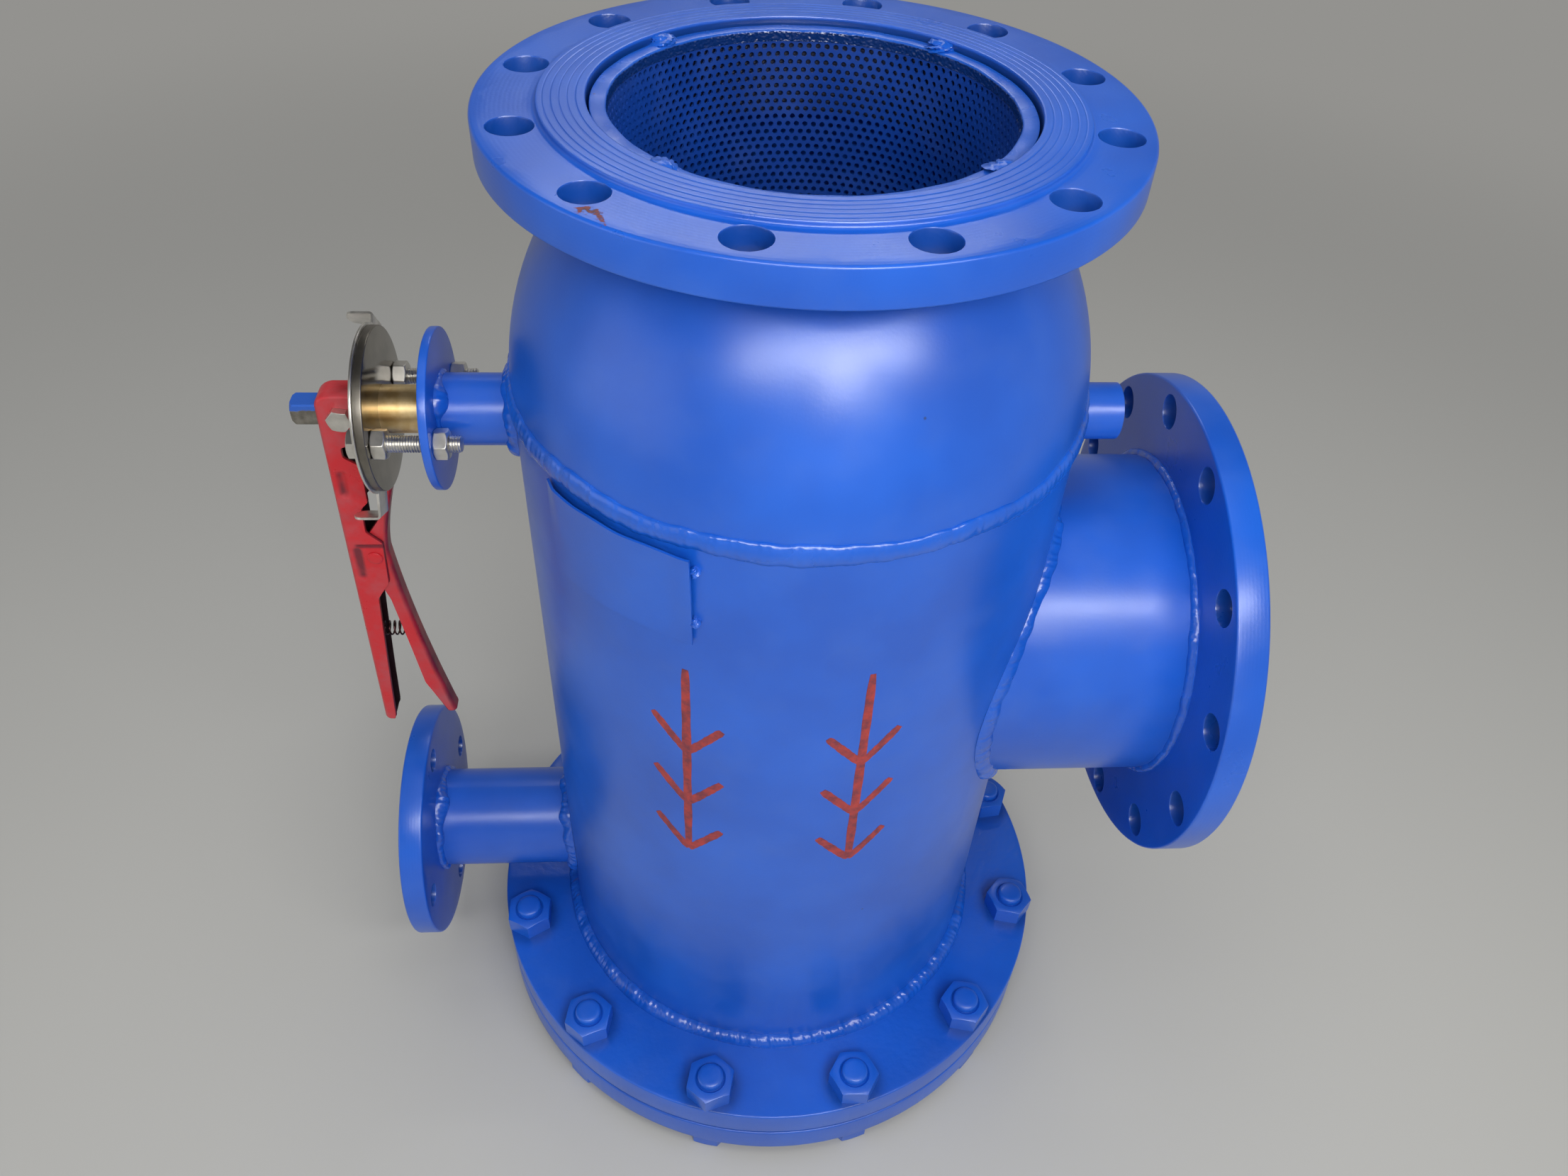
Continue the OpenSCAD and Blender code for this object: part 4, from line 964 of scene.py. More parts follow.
nozzle_beads = joined(
    saddle_bead(PIPE_R, 1, OUTLET_Z, SADDLE_LEG, 900, 21, 0.16),
    saddle_bead(DRAIN_R, -1, DRAIN_Z, SADDLE_LEG, 420, 22, 0.2),
    saddle_bead(NECK_R, -1, SHAFT_Z, SADDLE_LEG, 300, 23),
    saddle_bead(high("blind_boss")[1], 1, SHAFT_Z, SMALL_LEG, 260, 24),
    bead(neck_path, neck_up * SMALL_LEG, down_dome * SADDLE_LEG, np.pi / 2, 25))
add_piece("nozzle_beads", nozzle_beads, enamel_weld, stands_for=("nozzle_welds",), crease=60)
flange_beads = joined(
    ring_bead(PIPE_R, (0, 0, low("inlet_flange")[2]), "-z", FILLET_LEG, 720, 31),
    ring_bead(PIPE_R, (low("outlet_flange")[0], 0, OUTLET_Z), "-x", FILLET_LEG, 720, 32, 0.12, thin=0.75),
    ring_bead(DRAIN_R, (high("drain_flange")[0], 0, DRAIN_Z), "x", FILLET_LEG + 1, 360, 33, 0.18, 0.6,
              blob_deg=118),
    ring_bead(NECK_R, (VALVE_BACK, 0, SHAFT_Z), "x", SMALL_LEG + 1, 240, 34, 0.15, 0.35, blob_deg=128),
    ring_bead(SHELL_R, (0, 0, BASE_TOP), "z", FILLET_LEG + 3, 1200, 35, 0.11))
add_piece("flange_beads", flange_beads, enamel_weld, stands_for=("flange_welds",), crease=60)

# %% [markdown]
# A hexagon nut is a six-sided prism whose corners are turned off by a cone of 30 degrees. On the grid, each
# column has its own height: the side stops where the cone meets it, which draws the curved chamfer line
# exactly.

# %% Nuts and heads
HEX_COLS = 48
FACE_SHARE = 0.475
CONE_SLOPE = np.tan(np.radians(30))


def hex_body(height, flats, bore_r, both_ends=False, sink=0.0):
    """Hexagon block: r = flats / 2 / cos of the angle from the nearest flat, cut by a 30 degree cone."""
    angle = turn_angles(HEX_COLS)
    side = flats / 2 / np.cos((angle + np.pi / 6) % (np.pi / 3) - np.pi / 6)
    face, bore, level = (np.full_like(side, value) for value in (FACE_SHARE * flats, bore_r, height))
    cut = (side - face) * CONE_SLOPE
    foot = cut if both_ends else 0.1 + 0 * cut
    rows = [(bore, 0 * cut), (face if both_ends else side - 0.1, 0 * cut), (side, foot),
            (side, (foot + height - cut) / 2), (side, height - cut), (face, level)]
    if sink:
        rows += [(bore + 2 * sink, level), (bore + sink, level - sink), (bore, level - sink)]
    else:
        rows += [(bore, level)]
    radius, rise = np.swapaxes(np.array(rows), 0, 1)
    return angle, radius, rise


print("a nut is a grid of", hex_body(16.4, 32.0, 8.5, sink=1.4)[1].shape, "points")

# %% [markdown]
# A thread is a shaft whose radius falls and rises once per pitch along its length, shifted by one pitch per
# turn. Bolts come in sets, so one shape is copied to several places, each with its own turn. A Bevel
# modifier then takes off the sharpness that no forged or pressed piece has.

# %% Threads and sets of bolts
ROD_COLS, ROWS_PER_PITCH, THREAD_DEPTH = 24, 6, 0.55


def threaded_rod(length, diameter, pitch, tip=1.0):
    """Thread: the nominal radius less a saw of one pitch along the rod, shifted by a pitch per turn."""
    angle = turn_angles(ROD_COLS)
    height = np.arange(0, length + 1e-6, pitch / ROWS_PER_PITCH)
    height[-1] = length
    saw = np.abs((height[:, None] / pitch - angle / (2 * np.pi)) % 1 - 0.5) * 2
    radius = diameter / 2 - THREAD_DEPTH * pitch * saw
    radius = np.minimum(radius, diameter / 2 - tip + (length - height)[:, None])
    radius = np.pad(radius, ((1, 1), (0, 0)))
    return angle, radius, np.pad(height, 1, mode="edge")[:, None] + 0 * radius


def stand(shape, centres, axis, turns):
    """Copies of a shape of (angle, radius, height) at several places along an axis, each with its own turn.

    A shape with a bore is closed from its last row back to its first.
    """
    angle, radius, height = shape
    angle = angle + np.asarray(turns)[:, None, None]
    x, y = radius * np.cos(angle), radius * np.sin(angle)
    points = to_place(x, y, height + 0 * x, np.asarray(centres, float)[:, None, None], axis)
    bored = radius[0, 0] > 0
    return points, copies_of(grid_quads(*radius.shape, wrap_rows=bored), radius.size, len(centres))


def soften(piece, width_mm):
    """Round the edges of a piece with two segments."""
    bevel = piece.modifiers.new("soft_edges", "BEVEL")
    bevel.width = width_mm * MM
    bevel.segments = 2
    bevel.limit_method = "ANGLE"
    bevel.angle_limit = np.radians(32)


print("a pitch of thread has", ROWS_PER_PITCH * ROD_COLS, "points")

# %% [markdown]
# Twelve M20 bolts hold the cover. Heads are below, nuts on top with the bolt ends a few millimetres proud,
# all under the same blue coat. Each was left at its own angle by the spanner.

# %% Cover bolts and nuts
M20_FLATS, M20_HEAD, M20_NUT = 32.0, 12.8, 16.4
END_R, END_SINK, END_PROUD = 9.5, 1.4, 5.0
END_ROWS = np.array([[0, -10.0], [END_R, -10.0], [END_R, 2.8], [END_R - 0.3, 3.8], [END_R - 1.1, 4.6],
                     [6.0, 4.92], [0, END_PROUD]])
spanner = np.random.default_rng(7).uniform(0, np.pi / 3, COVER_BOLTS)


def on_circle(z):
    """Places of the cover bolts at one height."""
    return to_place(BOLT_CIRCLE_R * np.cos(bolt_angle), BOLT_CIRCLE_R * np.sin(bolt_angle), 0 * bolt_angle,
                    (0, 0, z), "z")


nuts = stand(hex_body(M20_NUT, M20_FLATS, END_R - 1.0, sink=END_SINK), on_circle(BASE_TOP), "z", spanner)
soften(add_piece("painted_base_nuts", nuts, enamel, stands_for=("base_nuts",)), 0.8)
end_angle = turn_angles(32)
bolt_end = (end_angle, END_ROWS[:, 0, None] + 0 * end_angle, END_ROWS[:, 1, None] + 0 * end_angle)
bolt_ends = stand(bolt_end, on_circle(high("base_bolts")[2] - END_PROUD), "z", 0 * spanner)
bolt_heads = stand(hex_body(M20_HEAD, M20_FLATS, 0.0), on_circle(low("blind_cover")[2]), "-z", -bolt_angle)
add_piece("painted_base_bolts", joined(bolt_ends, bolt_heads), enamel,
          stands_for=("base_bolts",))

# %% [markdown]
# Two M10 bolts clamp the gland: head on the stop plate, a nut behind the clamp disc and another behind the
# valve flange, with open thread between them. The lever is held by an M8 bolt through the shaft.

# %% Gland bolts and cross bolt
GLAND_Y = 34.0
M10_FLATS, M10_HEAD, M10_NUT, M10_PITCH, M10_BORE_R = 16.0, 6.4, 8.2, 1.5, 4.6
M8_FLATS, M8_HEAD, M8_NUT, M8_PITCH, M8_BORE_R = 12.8, 5.12, 6.56, 1.25, 3.6
STOP_FACE = low("gland_bolts")[0] + M10_HEAD
CROSS_X = middle("cross_nut")[0]
LEVER_HALF = high("lever")[1]


def gland_pair(x):
    """Places of the two gland bolts at one distance."""
    return [[x, -GLAND_Y, SHAFT_Z], [x, GLAND_Y, SHAFT_Z]]


def add_plated(name, solid, node, soft_mm, body="vessel"):
    """Zinc plated piece with softened edges, in place of a CAD piece."""
    soften(add_piece(name, solid, zinc_plate, body, stands_for=(node,)), soft_mm)


gland_rod = threaded_rod(high("gland_bolts")[0] - STOP_FACE, 10.0, M10_PITCH)
gland_heads = stand(hex_body(M10_HEAD, M10_FLATS, 0.0), gland_pair(STOP_FACE), "-x", [0.1, 0.5])
gland_bolts = joined(stand(gland_rod, gland_pair(STOP_FACE), "x", [0.3, 1.1]), gland_heads)
add_plated("threaded_gland_bolts", gland_bolts, "gland_bolts", 0.12)
gland_nut = hex_body(M10_NUT, M10_FLATS, M10_BORE_R, both_ends=True)
gland_nuts = joined(stand(gland_nut, gland_pair(high("clamp_disc")[0]), "x", [0.05, 0.3]),
                    stand(gland_nut, gland_pair(VALVE_BACK), "x", [0.2, 0.1]))
add_plated("plated_gland_nuts", gland_nuts, "gland_nuts", 0.35)
cross_front, cross_back = [[CROSS_X, -LEVER_HALF, SHAFT_Z]], [[CROSS_X, LEVER_HALF, SHAFT_Z]]
cross_head = stand(hex_body(M8_HEAD, M8_FLATS, 0.0), cross_front, "-y", [0.35])
add_plated("plated_cross_bolt", cross_head, "cross_bolt", 0.3, "diverter")
cross_nut = stand(hex_body(M8_NUT, M8_FLATS, M8_BORE_R, both_ends=True), cross_back, "y", [0.2])
cross_tail = stand(threaded_rod(high("cross_bolt")[1] - LEVER_HALF, 8.0, M8_PITCH), cross_back, "y", [0.0])
add_plated("plated_cross_nut", joined(cross_nut, cross_tail), "cross_nut", 0.12, "diverter")

# %% [markdown]
# The screen is a rolled sheet with some fourteen thousand punched holes, 3 mm wide and 5 mm apart in
# staggered rows. A picture of holes would look flat from close by, so the holes are real. They are laid out
# on a flat sheet, which is then rolled up.

# %% Rolled sheet
SCREEN_IN, SCREEN_OUT = 101.0, 102.5
HOLES_ROUND = 128
HOLE_R = 1.5
PITCH = 2 * np.pi / HOLES_ROUND * (SCREEN_IN + SCREEN_OUT) / 2
ROW_STEP = PITCH * np.sqrt(3) / 2
SCREEN_TOP = high("screen")[2]
FIRST_ROW = SCREEN_TOP - 2.4


def wrapped(u, z, radius):
    """Sheet coordinates rolled up: u runs round the screen, z is height."""
    turn = 2 * np.pi * u / (PITCH * HOLES_ROUND)
    return np.stack([radius * np.cos(turn), radius * np.sin(turn), z + 0 * turn], -1)


print("holes", round(PITCH, 3), "mm apart, rows", round(ROW_STEP, 3), "mm")

# %% [markdown]
# Each hole owns a six-sided cell of the sheet: the hole's rim is joined to the cell's edge on both skins,
# and the two rims are joined through the sheet. The sheet is made in bands with straight edges, where the
# cells are cut off and the notches between them filled.

# %% Punched bands
def edge_fill(inner, outer, angle, lift):
    """Quads at a band's straight edge: the notch after each cell on both skins, and the sheet's wall."""
    line = [k for k in range(len(angle)) if lift * np.sin(angle[k]) > 0.8]
    line = sorted(line, key=lambda k: np.cos(angle[k]))
    degrees = np.round(np.degrees(angle)).astype(int) % 360
    corner = list(degrees).index(30 if lift > 0 else 330)
    notches = [(inner[:, line[-1]], inner[:, corner], np.roll(inner[:, line[0]], -1)),
               (outer[:, line[-1]], np.roll(outer[:, line[0]], -1), outer[:, corner])]
    steps = [(a, b, 0) for a, b in zip(line, line[1:])] + [(line[-1], line[0], -1)]
    quads = [np.stack([a, b, c, c], -1) for a, b, c in notches]
    quads += [np.stack([inner[:, a], np.roll(inner[:, b], s), np.roll(outer[:, b], s), outer[:, a]], -1)
              for a, b, s in steps]
    return [quad[:, ::lift] for quad in quads]


def screen_band(first_row, rows, sides):
    """Closed band of punched sheet: four rings of points for each hole, cell edge and rim on both skins."""
    angle = np.radians(30 + 360 / sides * np.arange(sides))
    cell_r = PITCH / 2 / np.cos(np.abs((angle + np.pi / 6) % (np.pi / 3) - np.pi / 6))
    row = np.arange(first_row, first_row + rows)[:, None, None]
    u = PITCH * (np.arange(HOLES_ROUND)[None, :, None] + 0.5 * (row % 2))
    z = FIRST_ROW - ROW_STEP * row
    edge_u = u + cell_r * np.cos(angle)
    edge_z = np.clip(z + cell_r * np.sin(angle), z.min() - ROW_STEP / 2, z.max() + ROW_STEP / 2)
    rim_u = u + HOLE_R * np.cos(angle)
    rim_z = z + HOLE_R * np.sin(angle)
    rings = np.stack([wrapped(edge_u, edge_z, SCREEN_IN), wrapped(rim_u, rim_z, SCREEN_IN),
                      wrapped(rim_u, rim_z, SCREEN_OUT), wrapped(edge_u, edge_z, SCREEN_OUT)], 2)
    index = np.arange(rows * HOLES_ROUND * 4 * sides).reshape(rows, HOLES_ROUND, 4, sides)
    quads = [copies_of(grid_quads(4, sides), 4 * sides, rows * HOLES_ROUND)]
    for edge_row, lift in ((0, 1), (-1, -1)):
        quads += edge_fill(index[edge_row, :, 0], index[edge_row, :, 3], angle, lift)
    return rings, np.concatenate(quads)


print("cells in each row:", HOLES_ROUND)

# %% [markdown]
# The top band, which one looks into, has round holes of twelve sides, and three deep ones have six-sided
# holes. A plain hem closes the sheet at its top and its foot.

# %% Screen bands and hems
TOP_ROWS, TOP_SIDES = 20, 12
DEEP_ROWS, DEEP_SIDES = 29, 6


def hem(top, foot):
    """Plain ring of sheet between two heights."""
    section = [[SCREEN_IN, top], [SCREEN_OUT, top], [SCREEN_OUT, foot], [SCREEN_IN, foot]]
    return turned(np.array(section), FULL_TURN, (0, 0, 0), "z")


# The screen takes the darker inside blue, which is painted shade.
first_row = 0
for number, (rows, sides) in enumerate([(TOP_ROWS, TOP_SIDES)] + 3 * [(DEEP_ROWS, DEEP_SIDES)]):
    add_piece(f"screen_band_{number}", screen_band(first_row, rows, sides), enamel_inside,
              crease=50)
    first_row += rows
hems = joined(hem(SCREEN_TOP, FIRST_ROW + ROW_STEP / 2),
              hem(FIRST_ROW - ROW_STEP * (first_row - 0.5), low("screen")[2]))
add_piece("screen_hems", hems, enamel_inside, stands_for=("screen",))
print("holes in all:", first_row * HOLES_ROUND)

# %% [markdown]
# The screen hangs on a ring that was cut from plate with a torch. Its inner face is coarse from the flame,
# its top is flat with a rounded edge. A profile swept round the axis gives the ring, and seeded noise of
# about half a millimetre roughens the inner face, which painted shade darkens too.

# %% Screen ring
RING_IN, RING_OUT = SCREEN_IN - 0.3, high("screen_ring")[0]
RING_FOOT, RING_TOP = low("screen_ring")[2], high("screen_ring")[2]
RING_COLS, FLAME_ROWS = 1320, 9
BURN_MM, SCALLOP_MM, SWAY_MM, WARP_MM, FLAME_FACE_SHADE = 0.22, 0.1, 0.25, 0.12, 0.75
ring_angle = turn_angles(RING_COLS)
ring_rows = rounded([[RING_IN, RING_TOP], [RING_OUT, RING_TOP], [RING_OUT, RING_FOOT], [RING_IN, RING_FOOT]],
                    [1.2, 0.5, 0.2, 0.3], steps=3)
flame_z = np.linspace(RING_FOOT + 0.4, RING_TOP - 1.3, FLAME_ROWS)
profile = np.concatenate([ring_rows, np.stack([np.full(FLAME_ROWS, RING_IN), flame_z], -1)])
burn = np.random.default_rng(17).normal(0, 1, (len(profile), RING_COLS))
burn = 0.6 * burn + 0.4 * np.roll(burn, 1, 1)
ring_r, ring_z = profile[:, 0, None], profile[:, 1, None]
cut_face = (ring_r < SCREEN_IN + 0.2) * (ring_z < RING_TOP - 1.0)
radius = ring_r + cut_face * (BURN_MM * burn + SCALLOP_MM * wander(ring_angle, 41, (23, 47, 71)))
radius = radius + SWAY_MM * wander(ring_angle, 42, (5, 9, 16)) * (ring_r < SCREEN_IN + 2)
height = ring_z + WARP_MM * wander(ring_angle, 43, (4, 11, 27)) * (ring_z > RING_FOOT + 3)
ring_points = to_place(radius * np.cos(ring_angle), radius * np.sin(ring_angle), height, (0, 0, 0), "z")
# The cut face carries painted shade.
add_piece("flame_cut_screen_ring", (ring_points, grid_quads(len(profile), RING_COLS, wrap_rows=True)),
          enamel_weld, stands_for=("screen_ring",), crease=70,
          marks={"thin": FLAME_FACE_SHADE * cut_face + 0 * radius})

# %% [markdown]
# Four tacks hold the ring on the flange. They are lumps of weld metal: spheres whose radius swells and
# sinks. A sphere's grid closes at its poles, so each lump is a closed solid.

# %% Tacks
LUMP_COLS, LUMP_ROWS = 40, 21
TACK_R, TACK_Z, TACK_SIZE = 107.8, -1.0, (7.4, 7.4, 3.6)
TACK_TURNS = np.radians([134.0, 47.0, -43.0, -133.0])


def lump(centre, size, seed):
    """Weld lump: a sphere stretched to its size, its radius raised and sunk by waves over both angles."""
    u = turn_angles(LUMP_COLS)[None, :]
    v = np.linspace(0, np.pi, LUMP_ROWS)[:, None]
    swell = 1 + 0.2 * wander(u + 2 * v, seed, (2, 3, 5)) * np.sin(v)
    swell = swell + 0.12 * wander(3 * v + u, seed + 1, (1, 4, 7)) * np.sin(v)
    shape = np.stack([swell * np.sin(v) * np.cos(u), swell * np.sin(v) * np.sin(u),
                      swell * np.cos(v) + 0 * u], -1)
    return np.asarray(centre, float) + shape * np.asarray(size, float), grid_quads(LUMP_ROWS, LUMP_COLS)


tacks = [lump((TACK_R * np.cos(a), TACK_R * np.sin(a), TACK_Z), TACK_SIZE, 50 + k)
         for k, a in enumerate(TACK_TURNS)]
add_piece("screen_tacks", joined(*tacks), enamel_weld, crease=70)

# %% [markdown]
# The nameplate carrier is a bare piece of sheet, rolled a little flatter than the shell and tacked on: its
# top edge stands off and its foot nearly touches. A grid of points over angle and height is laid out twice,
# once for each face, and a strip of quads round the border joins the two.

# %% Nameplate carrier
PLATE_FROM, PLATE_TO = np.radians([-146.0, -112.0])
PLATE_FOOT, PLATE_TOP = low("nameplate_carrier")[2], high("nameplate_carrier")[2]
PLATE_T = 1.5
PLATE_COLS, PLATE_ROWS = 61, 31
PLATE_REST, PLATE_LIFT, PLATE_SPRING, PLATE_WAVE, EDGE_WAVE = 0.3, 3.2, 1.4, 0.15, 0.35
TACK_OUT, PLATE_TACK = SHELL_R + 1.8, (2.4, 2.4, 3.0)
u = np.linspace(0, 1, PLATE_COLS)[None, :]
v = np.linspace(0, 1, PLATE_ROWS)[:, None]
turn = PLATE_FROM + (PLATE_TO - PLATE_FROM) * u
gap = (PLATE_REST + PLATE_LIFT * v ** 2 * smooth_step(-0.02, 0.12, u)
       + PLATE_SPRING * smooth_step(0.85, 1.0, u) + PLATE_WAVE * np.sin(7 * u + 3 * v))
plate_z = PLATE_FOOT + (PLATE_TOP - PLATE_FOOT) * v + EDGE_WAVE * np.sin(19 * u) * (v > 0.99)
plate_r = np.stack([SHELL_R + gap, SHELL_R + gap + PLATE_T])
plate_points = to_place(plate_r * np.cos(turn), plate_r * np.sin(turn), plate_z + 0 * plate_r, (0, 0, 0), "z")
index = np.arange(PLATE_ROWS * PLATE_COLS).reshape(PLATE_ROWS, PLATE_COLS)
border = np.concatenate([index[0], index[1:, -1], index[-1, -2::-1], index[-2:0:-1, 0]])
beside = np.roll(border, -1)
skin = grid_quads(PLATE_ROWS, PLATE_COLS, wrap_cols=False)
rim = np.stack([border, beside, beside + index.size, border + index.size], -1)
plate_quads = np.concatenate([skin, skin[:, ::-1] + index.size, rim[:, ::-1]])
tack_turn = PLATE_TO + 0.008
plate_tacks = [lump((TACK_OUT * np.cos(tack_turn), TACK_OUT * np.sin(tack_turn), z), PLATE_TACK, 60 + k)
               for k, z in enumerate([PLATE_TOP - 10, PLATE_FOOT + 16])]
soften(add_piece("tacked_nameplate_carrier", joined((plate_points, plate_quads), *plate_tacks), enamel,
                 stands_for=("nameplate_carrier",)), 0.35)

# %% [markdown]
# The stop plate is thin plated sheet: a disc with two tongues bent outwards, which stop the lever at both
# ends of its turn. Each tongue is a strip carried along a bent path: out from the disc, round a bend, then
# along the shaft.

# %% Bent tongues
STOP_T = 1.5
STOP_R = 49.0
STOP_OUT = CLAMP_FACE - STOP_T
TAB_HALF, TAB_LEN, TAB_BEND, TAB_CORNER = 9.0, 17.0, 2.5, 6.5
UPPER_TAB_DEG, UPPER_TAB_R = 40, STOP_R + 6
LOWER_TAB_DEG, LOWER_TAB_R = -116, STOP_R + 15
STRIP = np.array([[-1, 0], [-0.97, 0.12], [0.97, 0.12], [1, 0], [1, STOP_T - 0.1], [0.97, STOP_T],
                  [-0.97, STOP_T], [-1, STOP_T - 0.1]])


def capped(values):
    """Add a row at both ends where every point is the row's mean, which closes a strip."""
    means = values.mean(1, keepdims=True) + 0 * values
    return np.concatenate([means[:1], values, means[-1:]])


def stop_tab(turn_deg, reach):
    """Bent tongue: a path out along r, a quarter bend, then along -X, with an even strip across it."""
    bend = np.linspace(0, np.pi / 2, 7)
    straight = np.linspace(0, TAB_LEN - TAB_BEND, 10)[1:]
    r = np.concatenate([[STOP_R - 6], reach - TAB_BEND + TAB_BEND * np.sin(bend),
                        np.full(len(straight), reach)])
    x = np.concatenate([[0.0], TAB_BEND * (np.cos(bend) - 1), -TAB_BEND - straight])
    tangent = np.gradient(np.stack([r, x], -1), axis=0)
    tangent = tangent / np.linalg.norm(tangent, axis=1, keepdims=True)
    past = np.clip(x + TAB_LEN, 0, TAB_CORNER)
    narrow = TAB_HALF - TAB_CORNER + np.sqrt(np.clip(TAB_CORNER ** 2 - (TAB_CORNER - past) ** 2, 0.01, None))
    wide = np.where(x < TAB_CORNER - TAB_LEN, narrow, TAB_HALF)
    out = capped(r[:, None] + tangent[:, 1, None] * STRIP[:, 1])
    along = capped(x[:, None] - tangent[:, 0, None] * STRIP[:, 1])
    side = capped(wide[:, None] * STRIP[:, 0])
    turn = np.radians(turn_deg)
    y = out * np.cos(turn) - side * np.sin(turn)
    z = out * np.sin(turn) + side * np.cos(turn)
    return np.stack([CLAMP_FACE + along, y, SHAFT_Z + z], -1), grid_quads(*out.shape)


print("a tongue is a grid of", stop_tab(UPPER_TAB_DEG, UPPER_TAB_R)[0].shape[:2], "points")

# %% [markdown]
# The disc is turned from a thin section with softened edges, and both tongues grow out of it, so that the
# three are written as one piece.

# %% Stop plate
stop_section = rounded([[SHAFT_BORE, 0], [STOP_R, 0], [STOP_R, -STOP_T], [SHAFT_BORE, -STOP_T]],
                       [0.1, 0.4, 0.4, 0.1])
stop_disc = turned(stop_section, FULL_TURN, (STOP_OUT, 0, SHAFT_Z), "-x")
stop_tabs = stop_tab(UPPER_TAB_DEG, UPPER_TAB_R), stop_tab(LOWER_TAB_DEG, LOWER_TAB_R)
add_plated("bent_stop_plate", joined(stop_disc, *stop_tabs), "stop_plate", 0.2)

# %% [markdown]
# Lever and trigger are pressed channels. At each height the section is a U of sheet: a back, two bends and
# two walls whose depth changes along the length. So the whole piece is one U section carried down the
# lever, with the depth taken from the outline, and hollows are pushed into the walls where the press left
# them. Above and below the open part the section closes, which makes the ends.

# %% Pressed channels
WALL_STEPS = np.linspace(1, 0, 15)[:-1]
BEND_STEPS = np.linspace(0, np.pi / 2, 7)
SHEET = 2.0


def u_section(bend_r):
    """Half a U from wall edge to back middle: shares of back, edge and half width, and fixed offsets."""
    wall = [(1 - t, t, bend_r * (1 - t), 1, 0) for t in WALL_STEPS]
    bend = [(1, 0, bend_r * (1 - np.sin(f)), 1, -bend_r * (1 - np.cos(f))) for f in BEND_STEPS]
    back = [(1, 0, 0, c, -bend_r * c) for c in (0.66, 0.33, 0.0)]
    return np.array(wall + bend + back)


def no_dent(d, s):
    """Plain wall."""
    return 0 * d


def pressed_channel(s, back, edge, half, bend_r, cavity, stamped=no_dent, scored=no_dent):
    """Channel points (depth, across) for each s: an outer U, an inner U one sheet within it, and a mask of
    painted shade on the inner U.

    Both skins are pushed in where the sheet is stamped, and only the outer one where it is scored.
    """
    open_part = smooth_step(cavity[0], cavity[0] + 0.2, s) * smooth_step(cavity[1], cavity[1] - 0.2, s)
    inner_back = back + SHEET + (edge - back - SHEET - 0.4) * (1 - open_part)
    skins = []
    for radius, floor_d, wide, dents in ((bend_r, back, half, (stamped, scored)),
                                         (max(bend_r - SHEET, 0.6), inner_back, half - SHEET, (stamped,))):
        side = u_section(radius)
        whole = np.concatenate([side, side[-2::-1]])
        sign = np.concatenate([np.ones(len(side)), -np.ones(len(side) - 1)])
        depth = floor_d[:, None] * whole[:, 0] + edge[:, None] * whole[:, 1] + whole[:, 2]
        depth = np.minimum(depth, edge[:, None])
        across = wide[:, None] * whole[:, 3] + whole[:, 4]
        push = sum(dent(depth, s[:, None] + 0 * depth) for dent in dents)
        across = across - push * smooth_step(wide[:, None] - 3, wide[:, None] - 0.2, across)
        skins.append((depth, sign * across))
    (depth_o, across_o), (depth_i, across_i) = skins
    depth_o[:, [0, -1]] -= 0.5
    depth = np.concatenate([depth_o, depth_i[:, ::-1]], 1)
    across = np.concatenate([across_o, across_i[:, ::-1]], 1)
    inside = np.concatenate([np.zeros(depth_o.shape), np.ones(depth_i.shape)], 1)
    return depth, across, inside


print("half a U has", len(u_section(3.2)), "points")

# %% [markdown]
# Three small helpers shape the channels: a soft rectangle for a pressed hollow, a weighted mean that rounds
# the corners of an outline, and the drop of a quarter arc for a rounded end.

# %% Hollows, soft corners and rounded ends
def box_field(d, s, d0, d1, s0, s1, soft):
    """One inside a rectangle of depth and length, falling to zero over a soft edge."""
    return (smooth_step(d0 - soft, d0 + soft, d) * smooth_step(d1 + soft, d1 - soft, d)
            * smooth_step(s0 - soft, s0 + soft, s) * smooth_step(s1 + soft, s1 - soft, s))


def eased(values):
    """Rounded corners of a line of values: each becomes a bell-weighted mean of itself and its neighbours."""
    bell = np.exp(-np.linspace(-2, 2, 7) ** 2)
    return np.convolve(np.pad(values, 3, mode="edge"), bell / bell.sum(), "valid")


def arc_drop(past, radius):
    """Drop of a quarter arc at a distance x past its start: r less the root of r squared less x squared."""
    x = np.clip(past, 0, radius)
    return radius - np.sqrt(np.clip(radius ** 2 - x ** 2, 0, None))


print("half way along, an arc of 8 mm has dropped", arc_drop(4.0, 8.0).round(2), "mm")

# %% [markdown]
# A pocket is stamped into both skins of the lever below its hub, and a shallow border is pressed into the
# outer skin round the pivot's pad. Both are fields over depth and length, and painted shade darkens the paint
# in them. A field is given by its depths, its lengths and the width of its soft edge.

# %% Hollows of the lever
POCKET_DEEP, BORDER_DEEP = 2.2, 1.3
POCKET = (4.6, 9.4, 40, 58, 2.6)
POCKET_SHADE, POCKET_BACK_SHADE = (4.6, 9.4, 41, 59, 2.6), (4.4, 6.6, 41, 57, 1.8)
BORDER_BACK, BORDER_TOP = (4.6, 9.0, 100, 125, 2.2), (6.0, 30, 97.4, 100.0, 1.3)


def hub_hollow(d, s):
    """Rounded pocket stamped into the wall below the hub, along its back."""
    return POCKET_DEEP * box_field(d, s, *POCKET)


def pad_border(d, s):
    """Sunk border above and behind the pivot's pad, wide at the back and narrow on top."""
    return np.maximum(box_field(d, s, *BORDER_BACK), box_field(d, s, *BORDER_TOP))


def border_dent(d, s):
    """Depth of the sunk border."""
    return BORDER_DEEP * pad_border(d, s)


def lever_shade(d, s):
    """Painted shade in the hollows: in the pocket, deepest at its back, and all along the border."""
    pocket = 0.9 * box_field(d, s, *POCKET_BACK_SHADE) + 0.5 * box_field(d, s, *POCKET_SHADE)
    return np.maximum(pocket, 1.35 * pad_border(d, s))


